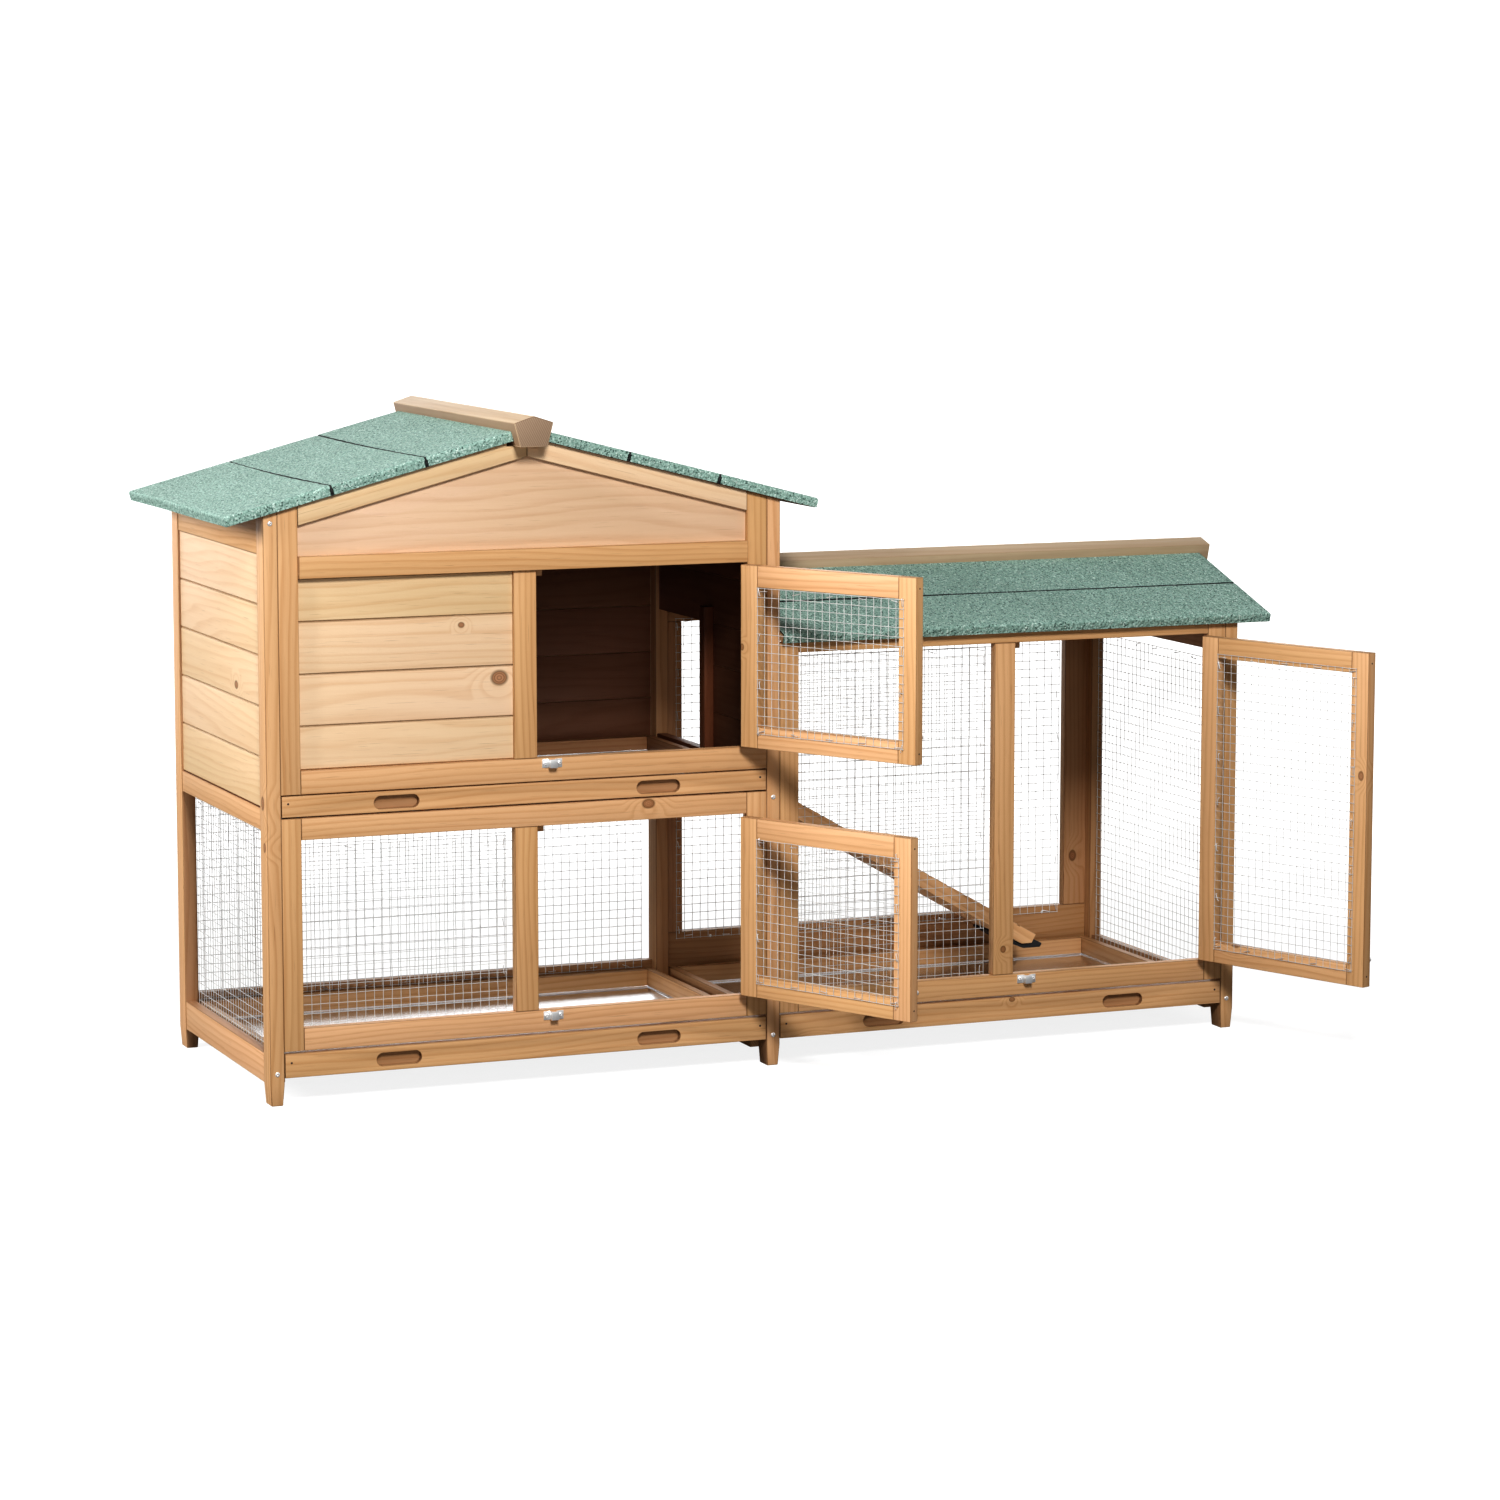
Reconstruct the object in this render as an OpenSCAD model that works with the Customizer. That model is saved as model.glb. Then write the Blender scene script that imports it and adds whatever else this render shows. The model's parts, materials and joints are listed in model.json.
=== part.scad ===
// Two-storey rabbit hutch with a gabled house on the left and a lower wire run on the right.
// Millimetres, +Z up, +X along the front towards the run, +Y from the front to the back.
// The origin is on the floor under the middle of the whole hutch with its three doors open.

/* [House and run] */
// width of the house over its posts
house_w = 745; // [600:1:900]
// width of the run from the house to the outside of its end posts
run_w = 722; // [500:1:900]
// depth over the posts, front to back
depth = 463; // [380:1:600]
// post width along the front
post_w = 20; // [15:1:40]
// post depth front to back
post_d = 32; // [20:1:50]
// thickness of frame rails, stiles and doors
frame_t = 15; // [10:1:25]
// width of most rails and stiles
rail_w = 30; // [20:1:45]
// width of the two middle stiles that the doors close against
mullion_w = 33; // [20:1:45]

/* [Levels] */
// underside of the lower tray fronts
tray_z = 38; // [25:1:60]
// height of the lower tray fronts
tray_h = 33; // [25:1:60]
// underside of the lower front panels
panel_z = 74; // [60:1:90]
// top of the lower front panel and bottom of the upper tray slot
shelf_z = 392; // [330:1:460]
// underside of the upper front panel
upper_z = 424; // [360:1:500]
// top of the upper door opening
header_z = 715; // [600:1:800]
// top of the run's door opening
run_head_z = 585; // [480:1:650]

/* [Roofs] */
// slope of the house roof
house_pitch = 14.5; // [8:0.5:30]
// top of the felt where it meets the house ridge beam
house_ridge_z = 905; // [800:1:1000]
// reach of the house roof past its side walls
house_eave = 55; // [20:1:90]
// slope of the run roof
run_pitch = 17.5; // [8:0.5:30]
// top of the felt where it meets the run ridge beam
run_ridge_z = 682; // [600:1:760]
// reach of the run roof past its front, back and end
run_eave = 14; // [5:1:60]
// reach of the run roof past its end wall
run_end_eave = 47; // [10:1:90]
// thickness of the roof boards
roof_t = 11.5; // [6:0.5:20]
// thickness of the roofing felt
felt_t = 2.5; // [1.5:0.5:4]

/* [Doors] */
// width of each door opening
opening_w = 310; // [200:1:400]
// gap round each door
door_gap = 2; // [1:0.5:4]
// opening angle of the upper door as it stands
upper_angle = 118.3; // [0:0.1:150]
// opening angle of the lower door as it stands
lower_angle = 116.8; // [0:0.1:150]
// opening angle of the run door as it stands
run_angle = 111.4; // [0:0.1:150]

/* [Wire mesh] */
// spacing of the wires drawn, which is every second wire of the half-inch mesh
mesh_pitch = 25.4; // [12.7:12.7:50.8]
// thickness of one wire
wire_t = 0.9; // [0.6:0.1:2]

/* [Ramp] */
// slope of the ramp below level
ramp_pitch = 29.8; // [20:0.1:45]
// length of the ramp board
ramp_len = 614; // [400:1:700]
// width of the ramp board
ramp_w = 128; // [80:1:190]
// thickness of the ramp board
ramp_t = 23; // [12:1:30]

/* [Hidden] */
house_mid = house_w / 2;
run_x = house_w;
run_end = house_w + run_w;
inner_l = post_w;
inner_r = house_w - post_w;
back_y = depth - post_d;
beam_flat = 25;
beam_out = 30;
front_over = 8;
rear_over = 27;
roof_all = roof_t + felt_t;
house_half = house_mid + house_eave;
run_mid = depth / 2;
run_half = run_mid + run_eave;
beam_rise = 12.5;
beam_drop = 20.5;
beam_tip = 9;
run_roof_end = run_end + run_end_eave;
run_beam_end = run_roof_end + 14;
opening_x = 385;
hinge_x = opening_x + opening_w;
run_opening_x = 1109;
run_hinge_x = run_opening_x + opening_w;
lower_sill_z = 105;
lower_head_z = 362;
upper_sill_z = 456.5;
board_z = 404;
board_h = 68.7;
side_foot_z = 28;
side_sill_z = 69;
side_lip_z = 374;
back_sill_z = 116;
house_back_z = 77;
run_top_z = 600;
run_side_head_z = 555;
hatch_y0 = 232;
hatch_y1 = 428;
hatch_z0 = 421;
hatch_z1 = 606;
barge_h = 27;
mesh_lap = 10;
mesh_t = 2 * wire_t;
pivot_out = 2.6;
barrel_r = 2.2;
pin_r = 1.1;
leaf_t = 1.2;
bolt_in = 21;
bolt_r = 3;
bolt_out = 5;
bolt_rest = 2;
keeper_h = 12;
keeper_drop = 2;
pan_t = 0.8;
pan_lip = 4;
seam = 0.2;
side_t = 12;
slot_w = 64;
slot_h = 18;
slot_off = 190;
slot_deep = 8;
ramp_y0 = 300;
ramp_hinge_x = run_x + 1.5;
ramp_hinge_z = 384.8;
ramp_low = 2;
groove_count = 17;
groove_step = 34;
groove_w = 5;
groove_deep = 1.5;
foot_t = 4.6;
foot_len = 40;
foot_reach = 18;
foot_cut = 14.4;
foot_rise = 15;
foot_chamfer = 2;
knob_reach = (opening_w - door_gap - bolt_in) * -cos(run_angle)
    + (bolt_out + 19 - pivot_out) * sin(run_angle);
mid_x = (run_hinge_x + knob_reach - house_eave) / 2;
door_reach = (opening_w - door_gap) * sin(run_angle)
    - (frame_t + pivot_out) * cos(run_angle) + pivot_out;
mid_y = (depth + rear_over + 12 - door_reach) / 2;
wood = [0.79, 0.58, 0.36];
pale_wood = [0.88, 0.74, 0.55];
ply = [0.82, 0.62, 0.46];
felt = [0.36, 0.43, 0.37];
zinc = [0.75, 0.76, 0.78];
black = [0.07, 0.07, 0.07];

function house_under(x) =
    house_ridge_z - (abs(x - house_mid) - beam_flat) * tan(house_pitch)
    - roof_all / cos(house_pitch);
function run_under(y) =
    run_ridge_z - (abs(y - run_mid) - beam_flat) * tan(run_pitch)
    - roof_all / cos(run_pitch);
function door_w() = opening_w - 2 * door_gap;

// height above the hinge pin of a level cut that meets the ramp's underside at distance u
function level_cut(from, u) = ramp_low + (u - from) * tan(ramp_pitch);

module place() {
    translate([-mid_x, -mid_y, 0]) children();
}

module slab(x0, x1, y0, y1, z0, z1) {
    translate([x0, y0, z0]) cube([x1 - x0, y1 - y0, z1 - z0]);
}

// upright plate in the XZ plane, from y0 to y1
module plate_xz(points, y0, y1) {
    translate([0, y1, 0]) rotate([90, 0, 0]) linear_extrude(y1 - y0) polygon(points);
}

// upright plate in the YZ plane, from x0 to x1
module plate_yz(points, x0, x1) {
    translate([x0, 0, 0]) rotate([90, 0, 90]) linear_extrude(x1 - x0) polygon(points);
}

// post with a slightly narrowed foot; its top follows the roof above it
module post(x, y, top_l, top_r, top_f, top_b) {
    c = foot_chamfer;
    high = max(top_l, top_r, top_f, top_b);
    intersection() {
        plate_xz([[x + c, 0], [x + post_w - c, 0], [x + post_w, 30],
            [x + post_w, min(top_r, high)], [x, min(top_l, high)], [x, 30]], y, y + post_d);
        plate_yz([[y + c, 0], [y + post_d - c, 0], [y + post_d, 30],
            [y + post_d, top_b], [y, top_f], [y, 30]], x, x + post_w);
    }
}

module house_post(x, y) {
    top = house_under(x + post_w / 2) + 50;
    post(x, y, house_under(x), house_under(x + post_w), top, top);
}

module run_post(x, y) {
    top = run_under(y + post_d / 2) + 50;
    post(x, y, top, top, run_under(y), run_under(y + post_d));
}

module house_posts() {
    color(wood) place()
        for (x = [0, inner_r], y = [0, back_y]) house_post(x, y);
}

module run_posts() {
    color(wood) place()
        for (y = [0, back_y]) run_post(run_end - post_w, y);
}

module upper_frame() {
    left = inner_l + 28;
    color(wood) place() {
        plate_xz([[inner_l, upper_z], [left, upper_z], [left, house_under(left)],
            [inner_l, house_under(inner_l)]], 0, frame_t);
        plate_xz([[hinge_x, upper_sill_z], [inner_r, upper_sill_z],
            [inner_r, house_under(inner_r)], [hinge_x, house_under(hinge_x)]], 0, frame_t);
        slab(opening_x - mullion_w, opening_x, 0, frame_t, upper_sill_z, header_z);
        slab(left + seam, inner_r, 0, frame_t, upper_z, upper_sill_z - seam);
    }
}

module lower_frame() {
    left = inner_l + 28;
    color(wood) place() {
        slab(inner_l, left, 0, frame_t, panel_z, shelf_z);
        slab(hinge_x, inner_r, 0, frame_t, panel_z, shelf_z);
        slab(opening_x - mullion_w, opening_x, 0, frame_t, lower_sill_z + seam,
            lower_head_z - seam);
        slab(left + seam, hinge_x - seam, 0, frame_t, panel_z, lower_sill_z);
        slab(left + seam, hinge_x - seam, 0, frame_t, lower_head_z, shelf_z);
    }
}

module right_rails() {
    x0 = house_w - 18;
    x1 = house_w - 3;
    top_z = board_z + 5 * board_h;
    color(wood) place() {
        slab(x0, x1, post_d, back_y, side_lip_z, hatch_z0);
        plate_xz([[x0, top_z], [x1, top_z], [x1, house_under(x1)], [x0, house_under(x0)]],
            post_d, back_y);
        slab(house_w - 29, house_w - 14, hatch_y0 - 18, hatch_y0, hatch_z0 + seam,
            hatch_z1 + 25);
    }
}

module run_frame() {
    left = run_x + 28.5;
    right = run_end - post_w;
    color(wood) place() {
        slab(run_x, left, 0, frame_t, panel_z, run_top_z);
        slab(run_opening_x - 32, run_opening_x, 0, frame_t, lower_sill_z + seam,
            run_head_z - seam);
        slab(run_hinge_x, right, 0, frame_t, panel_z, run_top_z);
        slab(left + seam, run_hinge_x - seam, 0, frame_t, panel_z, lower_sill_z);
        slab(left + seam, run_hinge_x - seam, 0, frame_t, run_head_z, run_top_z);
    }
}

module run_back_frame() {
    y0 = depth - frame_t;
    right = run_end - post_w;
    color(wood) place() {
        slab(run_x, run_x + 28.5, y0, depth, back_sill_z + seam, run_head_z - seam);
        slab(right - 37, right, y0, depth, back_sill_z + seam, run_head_z - seam);
        slab(run_x, right, y0, depth, side_foot_z, back_sill_z);
        slab(run_x, right, y0, depth, run_head_z, run_top_z);
    }
}

module header_batten() {
    color(wood) place()
        slab(inner_l + 28.3, hinge_x - 0.3, -5, 5, header_z, header_z + rail_w);
}

// gable infill between the uprights x0 and x1, cut round the ridge beam
module gable(x0, x1, y0, y1, low) {
    difference() {
        plate_xz([[x0, low], [x1, low], [x1, house_under(x1)],
            [house_mid, house_under(house_mid)], [x0, house_under(x0)]], y0, y1);
        slab(house_mid - beam_flat - 4, house_mid + beam_flat + 4, y0 - 1, y1 + 1,
            house_ridge_z - beam_drop, house_ridge_z + 50);
    }
}

module front_gable() {
    color(ply) place() gable(inner_l + 28.3, hinge_x - 0.3, 5, 11, header_z);
}

module barge_board(x0, x1) {
    difference() {
        plate_xz([[x0, house_under(x0) - barge_h], [x1, house_under(x1) - barge_h],
            [x1, house_under(x1)], [x0, house_under(x0)]], -1, 5);
        slab(house_mid - beam_flat - 4, house_mid + beam_flat + 4, -2, 6,
            house_ridge_z - beam_drop, house_ridge_z + 50);
    }
}

module barge_boards() {
    color(pale_wood) place() {
        barge_board(inner_l + 28.3, house_mid - 0.2);
        barge_board(house_mid + 0.2, hinge_x - 0.3);
    }
}

// one lapped board profile: length along X, from z0 to z1, with small bevels on its face
module front_board(x0, x1, y0, y1, z0, z1) {
    b = 1.6;
    plate_yz([[y0 + b, z0], [y1, z0], [y1, z1], [y0 + b, z1], [y0, z1 - b], [y0, z0 + b]],
        x0, x1);
}

module side_board(x0, x1, y0, y1, z0, z1, out) {
    b = 1.6;
    outer = out < 0 ? x0 : x1;
    inner = out < 0 ? x1 : x0;
    bevel = outer - out * b;
    plate_xz([[bevel, z0], [inner, z0], [inner, z1], [bevel, z1], [outer, z1 - b],
        [outer, z0 + b]], y0, y1);
}

module front_cladding() {
    tops = [515.5, 585.5, 656.5, header_z];
    lows = [upper_sill_z, 515.5, 585.5, 656.5];
    color(pale_wood) place()
        for (i = [0:3])
            front_board(inner_l + 28.2, opening_x - mullion_w - 0.2, 4, 12,
                lows[i] + seam, tops[i]);
}

module left_rails() {
    top_z = board_z + 5 * board_h;
    color(wood) place() {
        slab(1, 16, post_d, back_y, side_foot_z, side_sill_z);
        slab(1, 16, post_d, back_y, side_lip_z, board_z);
        plate_xz([[1, top_z], [16, top_z], [16, house_under(16)], [1, house_under(1)]],
            post_d, back_y);
    }
}

module left_cladding() {
    color(pale_wood) place()
        for (i = [0:4])
            side_board(3, 13, post_d, back_y, board_z + i * board_h + seam,
                board_z + (i + 1) * board_h, -1);
}

module right_cladding() {
    steps = [hatch_z0, 478, 547, hatch_z1, 677, board_z + 5 * board_h];
    color(pale_wood) place()
        for (i = [0:4])
            side_board(house_w - 14, house_w - 4, post_d, i < 3 ? hatch_y0 : back_y,
                steps[i] + seam, steps[i + 1], 1);
}

module back_rails() {
    y0 = depth - frame_t;
    color(wood) place() {
        slab(inner_l, inner_r, y0, depth, side_foot_z, house_back_z);
        slab(inner_l, inner_r, y0, depth, side_lip_z, board_z);
    }
}

module back_cladding() {
    color(pale_wood) place()
        for (i = [0:4])
            translate([0, 2 * depth, 0]) mirror([0, 1, 0])
                front_board(inner_l, inner_r, depth + 3, depth + 13,
                    board_z + i * board_h + seam, board_z + (i + 1) * board_h);
}

module back_gable() {
    color(ply) place()
        gable(inner_l, inner_r, depth - 13, depth - 4, board_z + 5 * board_h);
}

module run_side_rails() {
    x0 = run_end - 16;
    color(wood) place() {
        slab(x0, run_end - 1, post_d, back_y, side_foot_z, side_sill_z);
        slab(x0, run_end - 1, post_d, back_y, run_side_head_z, run_top_z);
    }
}

module run_gable() {
    color(ply) place() difference() {
        plate_yz([[post_d, run_top_z], [back_y, run_top_z], [back_y, run_under(back_y)],
            [run_mid, run_under(run_mid)], [post_d, run_under(post_d)]],
            run_end - 13, run_end - 5);
        slab(run_end - 20, run_end + 2, run_mid - beam_flat - 4, run_mid + beam_flat + 4,
            run_ridge_z - beam_drop, run_ridge_z + 50);
    }
}

module tray_runners() {
    color(wood) place() {
        slab(16, 30, post_d, back_y, shelf_z - 12, shelf_z + 1.6);
        slab(inner_r - 12, inner_r + 2, post_d, back_y, shelf_z - 12, shelf_z + 1.6);
        slab(16, 30, post_d, back_y, tray_z - 12, tray_z - 0.4);
        slab(run_end - 30, run_end - 16, post_d, back_y, tray_z - 12, tray_z - 0.4);
    }
}

module centre_bearer() {
    color(wood) place()
        slab(inner_r - 12, house_w + 12, post_d, back_y, tray_z - 16, tray_z - 0.4);
}

// welded mesh standing in the XZ plane: upright wires in front, level wires behind them
module mesh_xz(x0, x1, y, z0, z1) {
    across = floor((x1 - x0 - wire_t) / mesh_pitch);
    high = floor((z1 - z0 - wire_t) / mesh_pitch);
    for (i = [0:across])
        slab(x0 + i * mesh_pitch, x0 + i * mesh_pitch + wire_t, y, y + wire_t, z0,
            z0 + high * mesh_pitch + wire_t);
    for (i = [0:high])
        slab(x0, x0 + across * mesh_pitch + wire_t, y + wire_t, y + mesh_t,
            z0 + i * mesh_pitch, z0 + i * mesh_pitch + wire_t);
}

// welded mesh standing in the YZ plane
module mesh_yz(x, y0, y1, z0, z1) {
    across = floor((y1 - y0 - wire_t) / mesh_pitch);
    high = floor((z1 - z0 - wire_t) / mesh_pitch);
    for (i = [0:across])
        slab(x, x + wire_t, y0 + i * mesh_pitch, y0 + i * mesh_pitch + wire_t, z0,
            z0 + high * mesh_pitch + wire_t);
    for (i = [0:high])
        slab(x + wire_t, x + mesh_t, y0, y0 + across * mesh_pitch + wire_t,
            z0 + i * mesh_pitch, z0 + i * mesh_pitch + wire_t);
}

module lower_mesh() {
    color(zinc) place()
        mesh_xz(inner_l + 28 - mesh_lap, opening_x - mullion_w + mesh_lap, frame_t,
            lower_sill_z - mesh_lap, lower_head_z + mesh_lap);
}

module left_mesh() {
    color(zinc) place()
        mesh_yz(16, post_d + 1, back_y - 1, side_sill_z - mesh_lap, side_lip_z + 5);
}

module house_back_mesh() {
    color(zinc) place()
        mesh_xz(inner_l + 1, inner_r - 1, depth - frame_t - mesh_t,
            house_back_z - mesh_lap, side_lip_z + mesh_lap);
}

module run_front_mesh() {
    color(zinc) place()
        mesh_xz(run_x + 28.5 - mesh_lap, run_opening_x - 32 + mesh_lap, frame_t,
            lower_sill_z - mesh_lap, run_head_z + mesh_lap);
}

module run_side_mesh() {
    color(zinc) place()
        mesh_yz(run_end - 16 - mesh_t, post_d + 1, back_y - 1, side_sill_z - mesh_lap,
            run_side_head_z + mesh_lap);
}

module run_back_mesh() {
    color(zinc) place()
        mesh_xz(run_x + 28.5 - mesh_lap, run_end - post_w - 37 + mesh_lap,
            depth - frame_t - mesh_t, back_sill_z - mesh_lap, run_head_z + mesh_lap);
}

// roof slopes: local X runs down the slope from the ridge beam, local Y along the ridge
module house_slopes() {
    for (side = [0, 1])
        translate([house_mid, -front_over, house_ridge_z]) mirror([side, 0, 0])
            translate([beam_flat, 0, 0]) rotate([0, house_pitch, 0]) children();
}

module run_slopes() {
    for (side = [0, 1])
        translate([run_x + 0.5, run_mid, run_ridge_z]) mirror([0, side, 0])
            translate([0, -beam_flat, 0]) rotate([0, 0, -90]) rotate([0, run_pitch, 0])
                children();
}

// felt strip on a slope from u0 to u1, turned down over the ends and the eave
module felt_strip(u0, u1, len, eave, near_lip) {
    lip = 2;
    difference() {
        slab(u0, u1, 0, len, -roof_all, 0);
        slab(u0 - 1, eave ? u1 - lip : u1 + 1, near_lip ? lip : -1, len - lip,
            -roof_all - 1, -felt_t);
    }
}

module house_roof_boards() {
    slope = (house_half - beam_flat) / cos(house_pitch);
    len = depth + front_over + rear_over;
    color(pale_wood) place() house_slopes() slab(0, slope - 2, 2, len - 2, -roof_all, -felt_t);
}

module house_felt() {
    slope = (house_half - beam_flat) / cos(house_pitch);
    len = depth + front_over + rear_over;
    color(felt) place() house_slopes() {
        felt_strip(0, slope * 0.304, len, false, true);
        felt_strip(slope * 0.304 + 0.6, slope * 0.634, len, false, true);
        felt_strip(slope * 0.634 + 0.6, slope, len, true, true);
    }
}

// ridge beam end profile: sides square to the two slopes, low pointed top
module beam_profile(pitch) {
    low = beam_flat - beam_drop * tan(pitch);
    high = beam_flat + beam_rise * tan(pitch);
    polygon([[-low, -beam_drop], [low, -beam_drop], [high, beam_rise],
        [0, beam_rise + beam_tip], [-high, beam_rise]]);
}

module house_ridge() {
    color(wood) place()
        translate([house_mid, depth + rear_over + 12, house_ridge_z]) rotate([90, 0, 0])
            linear_extrude(depth + rear_over + 12 + beam_out) beam_profile(house_pitch);
}

module run_roof_boards() {
    slope = (run_half - beam_flat) / cos(run_pitch);
    len = run_roof_end - run_x - 0.5;
    color(pale_wood) place() run_slopes() slab(0, slope - 2, 0, len - 2, -roof_all, -felt_t);
}

module run_felt() {
    slope = (run_half - beam_flat) / cos(run_pitch);
    len = run_roof_end - run_x - 0.5;
    color(felt) place() run_slopes() {
        felt_strip(0, slope * 0.5, len, false, false);
        felt_strip(slope * 0.5 + 0.6, slope, len, true, false);
    }
}

module run_ridge() {
    color(wood) place()
        translate([run_x + 0.5, run_mid, run_ridge_z]) rotate([90, 0, 90])
            linear_extrude(run_beam_end - run_x - 0.5) beam_profile(run_pitch);
}

module screw_head(x, z) {
    translate([x, 0, z]) rotate([90, 0, 0]) cylinder(h = 1, r = 3.4, $fn = 32);
}

module frame_screws() {
    color(zinc) place() {
        for (z = [44, 790]) screw_head(10, z);
        for (z = [44, 383]) screw_head(house_w - 10, z);
        screw_head(run_end - 10, 44);
        for (x = [opening_x + bolt_in, run_opening_x + bolt_in], side = [-1, 1])
            translate([0, -leaf_t, 0])
                screw_head(x + side * 10.5, lower_sill_z - keeper_drop - keeper_h / 2);
        for (side = [-1, 1])
            translate([0, -leaf_t, 0])
                screw_head(opening_x + bolt_in + side * 10.5,
                    upper_sill_z - keeper_drop - keeper_h / 2);
    }
}

// strap keeper: two screwed ears and a raised bridge that the bolt drops into
module keeper(x, sill) {
    z0 = sill - keeper_drop - keeper_h;
    z1 = sill - keeper_drop;
    for (side = [-1, 1]) {
        slab(x + (side > 0 ? 4.2 : -14.5), x + (side > 0 ? 14.5 : -4.2), -leaf_t, 0, z0, z1);
        slab(x + (side > 0 ? 4.2 : -5.4), x + (side > 0 ? 5.4 : -4.2), -9.6, -leaf_t, z0, z1);
    }
    slab(x - 4.2, x + 4.2, -9.6, -8.4, z0, z1);
}

module bolt_keepers() {
    color(zinc) place() {
        union() keeper(opening_x + bolt_in, upper_sill_z);
        union() keeper(opening_x + bolt_in, lower_sill_z);
        union() keeper(run_opening_x + bolt_in, lower_sill_z);
    }
}

// small wooden block behind the head rail that the shut door meets
module door_stop(x, head) {
    slab(x - 14, x + 14, frame_t, frame_t + 9, head - 10, head);
}

module door_stops() {
    color(wood) place() {
        door_stop(opening_x, header_z);
        door_stop(opening_x, lower_head_z);
        door_stop(run_opening_x, run_head_z);
    }
}

// hinge halves round a vertical pin at the local origin; 40 mm tall, centred on z
module fixed_leaf(z) {
    difference() {
        union() {
            translate([0, 0, z - 7]) cylinder(h = 14, r = barrel_r, $fn = 32);
            slab(0, 3, pivot_out - leaf_t, pivot_out, z - 7, z + 7);
            slab(2.9, 20, pivot_out - leaf_t, pivot_out, z - 20, z + 20);
        }
        translate([0, 0, z - 8]) cylinder(h = 16, r = pin_r + 0.3, $fn = 32);
    }
}

module moving_leaf(z) {
    translate([0, 0, z - 20]) cylinder(h = 40, r = pin_r, $fn = 32);
    for (low = [z - 20, z + 7.4]) {
        translate([0, 0, low]) cylinder(h = 12.6, r = barrel_r, $fn = 32);
        slab(-3, 0, pivot_out - leaf_t, pivot_out, low, low + 12.6);
    }
    slab(-20, -2.9, pivot_out - leaf_t, pivot_out, z - 20, z + 20);
}

module fixed_hinges() {
    upper_mid = (upper_sill_z + header_z) / 2;
    lower_mid = (lower_sill_z + lower_head_z) / 2;
    run_low = lower_sill_z + 60;
    color(zinc) place() {
        for (side = [-1, 1]) {
            translate([hinge_x, -pivot_out, upper_mid + side * 85]) fixed_leaf(0);
            translate([hinge_x, -pivot_out, lower_mid + side * 85]) fixed_leaf(0);
        }
        for (z = [run_low, run_head_z - 60])
            translate([run_hinge_x, -pivot_out, z]) fixed_leaf(0);
        for (side = [0, 1])
            translate([ramp_hinge_x, ramp_y0 + 34 + side * 60, ramp_hinge_z])
                ramp_bracket();
    }
}

// door built closed with its hinge pin on the local Z axis, then swung open
module swung(x, angle) {
    place() translate([x, -pivot_out, 0]) rotate([0, 0, angle])
        translate([-door_gap, pivot_out, 0]) children();
}

module door_frame(z0, z1) {
    w = door_w();
    low = z0 + door_gap;
    top = z1 - door_gap;
    slab(-w, -w + rail_w, 0, frame_t, low, top);
    slab(-rail_w, 0, 0, frame_t, low, top);
    for (z = [low, top - rail_w])
        slab(-w + rail_w + seam, -rail_w - seam, 0, frame_t, z, z + rail_w);
}

module door_mesh(z0, z1) {
    w = door_w();
    mesh_xz(-w + rail_w - 9, -rail_w + 10, frame_t, z0 + door_gap + rail_w - mesh_lap,
        z1 - door_gap - rail_w + mesh_lap);
}

// two moving hinge leaves and the bolt's backing plate with its two saddles
module door_fittings(z0, hinges) {
    x = bolt_in - door_gap - door_w();
    low = z0 + door_gap;
    for (z = hinges) translate([door_gap, -pivot_out, 0]) moving_leaf(z);
    difference() {
        union() {
            slab(x - 11, x + 11, -leaf_t, 0, low + 4, low + 60);
            for (z = [low + 8, low + 46]) slab(x - 6, x + 6, -9.6, -leaf_t, z, z + 8);
        }
        translate([x, -bolt_out, low]) cylinder(h = 70, r = bolt_r + 0.4, $fn = 40);
    }
}

// bolt rod with a round knob; raised as it rests, it drops 14 mm into the keeper
module bolt(z0) {
    x = bolt_in - door_gap - door_w();
    tip = z0 + door_gap - bolt_rest;
    translate([x, -bolt_out, tip]) cylinder(h = 60, r = bolt_r, $fn = 40);
    translate([x, -bolt_out, tip + 36]) rotate([90, 0, 0])
        cylinder(h = 15, r = 2, $fn = 32);
    translate([x, -bolt_out - 15, tip + 36]) sphere(r = 4, $fn = 48);
}

module upper_door() {
    color(wood) swung(hinge_x, upper_angle) door_frame(upper_sill_z, header_z);
}

module upper_door_mesh() {
    color(zinc) swung(hinge_x, upper_angle) door_mesh(upper_sill_z, header_z);
}

module upper_door_fittings() {
    mid = (upper_sill_z + header_z) / 2;
    color(zinc) swung(hinge_x, upper_angle) door_fittings(upper_sill_z, [mid - 85, mid + 85]);
}

module upper_bolt() {
    color(zinc) swung(hinge_x, upper_angle) bolt(upper_sill_z);
}

module lower_door() {
    color(wood) swung(hinge_x, lower_angle) door_frame(lower_sill_z, lower_head_z);
}

module lower_door_mesh() {
    color(zinc) swung(hinge_x, lower_angle) door_mesh(lower_sill_z, lower_head_z);
}

module lower_door_fittings() {
    mid = (lower_sill_z + lower_head_z) / 2;
    color(zinc) swung(hinge_x, lower_angle) door_fittings(lower_sill_z, [mid - 85, mid + 85]);
}

module lower_bolt() {
    color(zinc) swung(hinge_x, lower_angle) bolt(lower_sill_z);
}

module run_door() {
    color(wood) swung(run_hinge_x, run_angle) door_frame(lower_sill_z, run_head_z);
}

module run_door_mesh() {
    color(zinc) swung(run_hinge_x, run_angle) door_mesh(lower_sill_z, run_head_z);
}

module run_door_fittings() {
    color(zinc) swung(run_hinge_x, run_angle)
        door_fittings(lower_sill_z, [lower_sill_z + 60, run_head_z - 60]);
}

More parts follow.
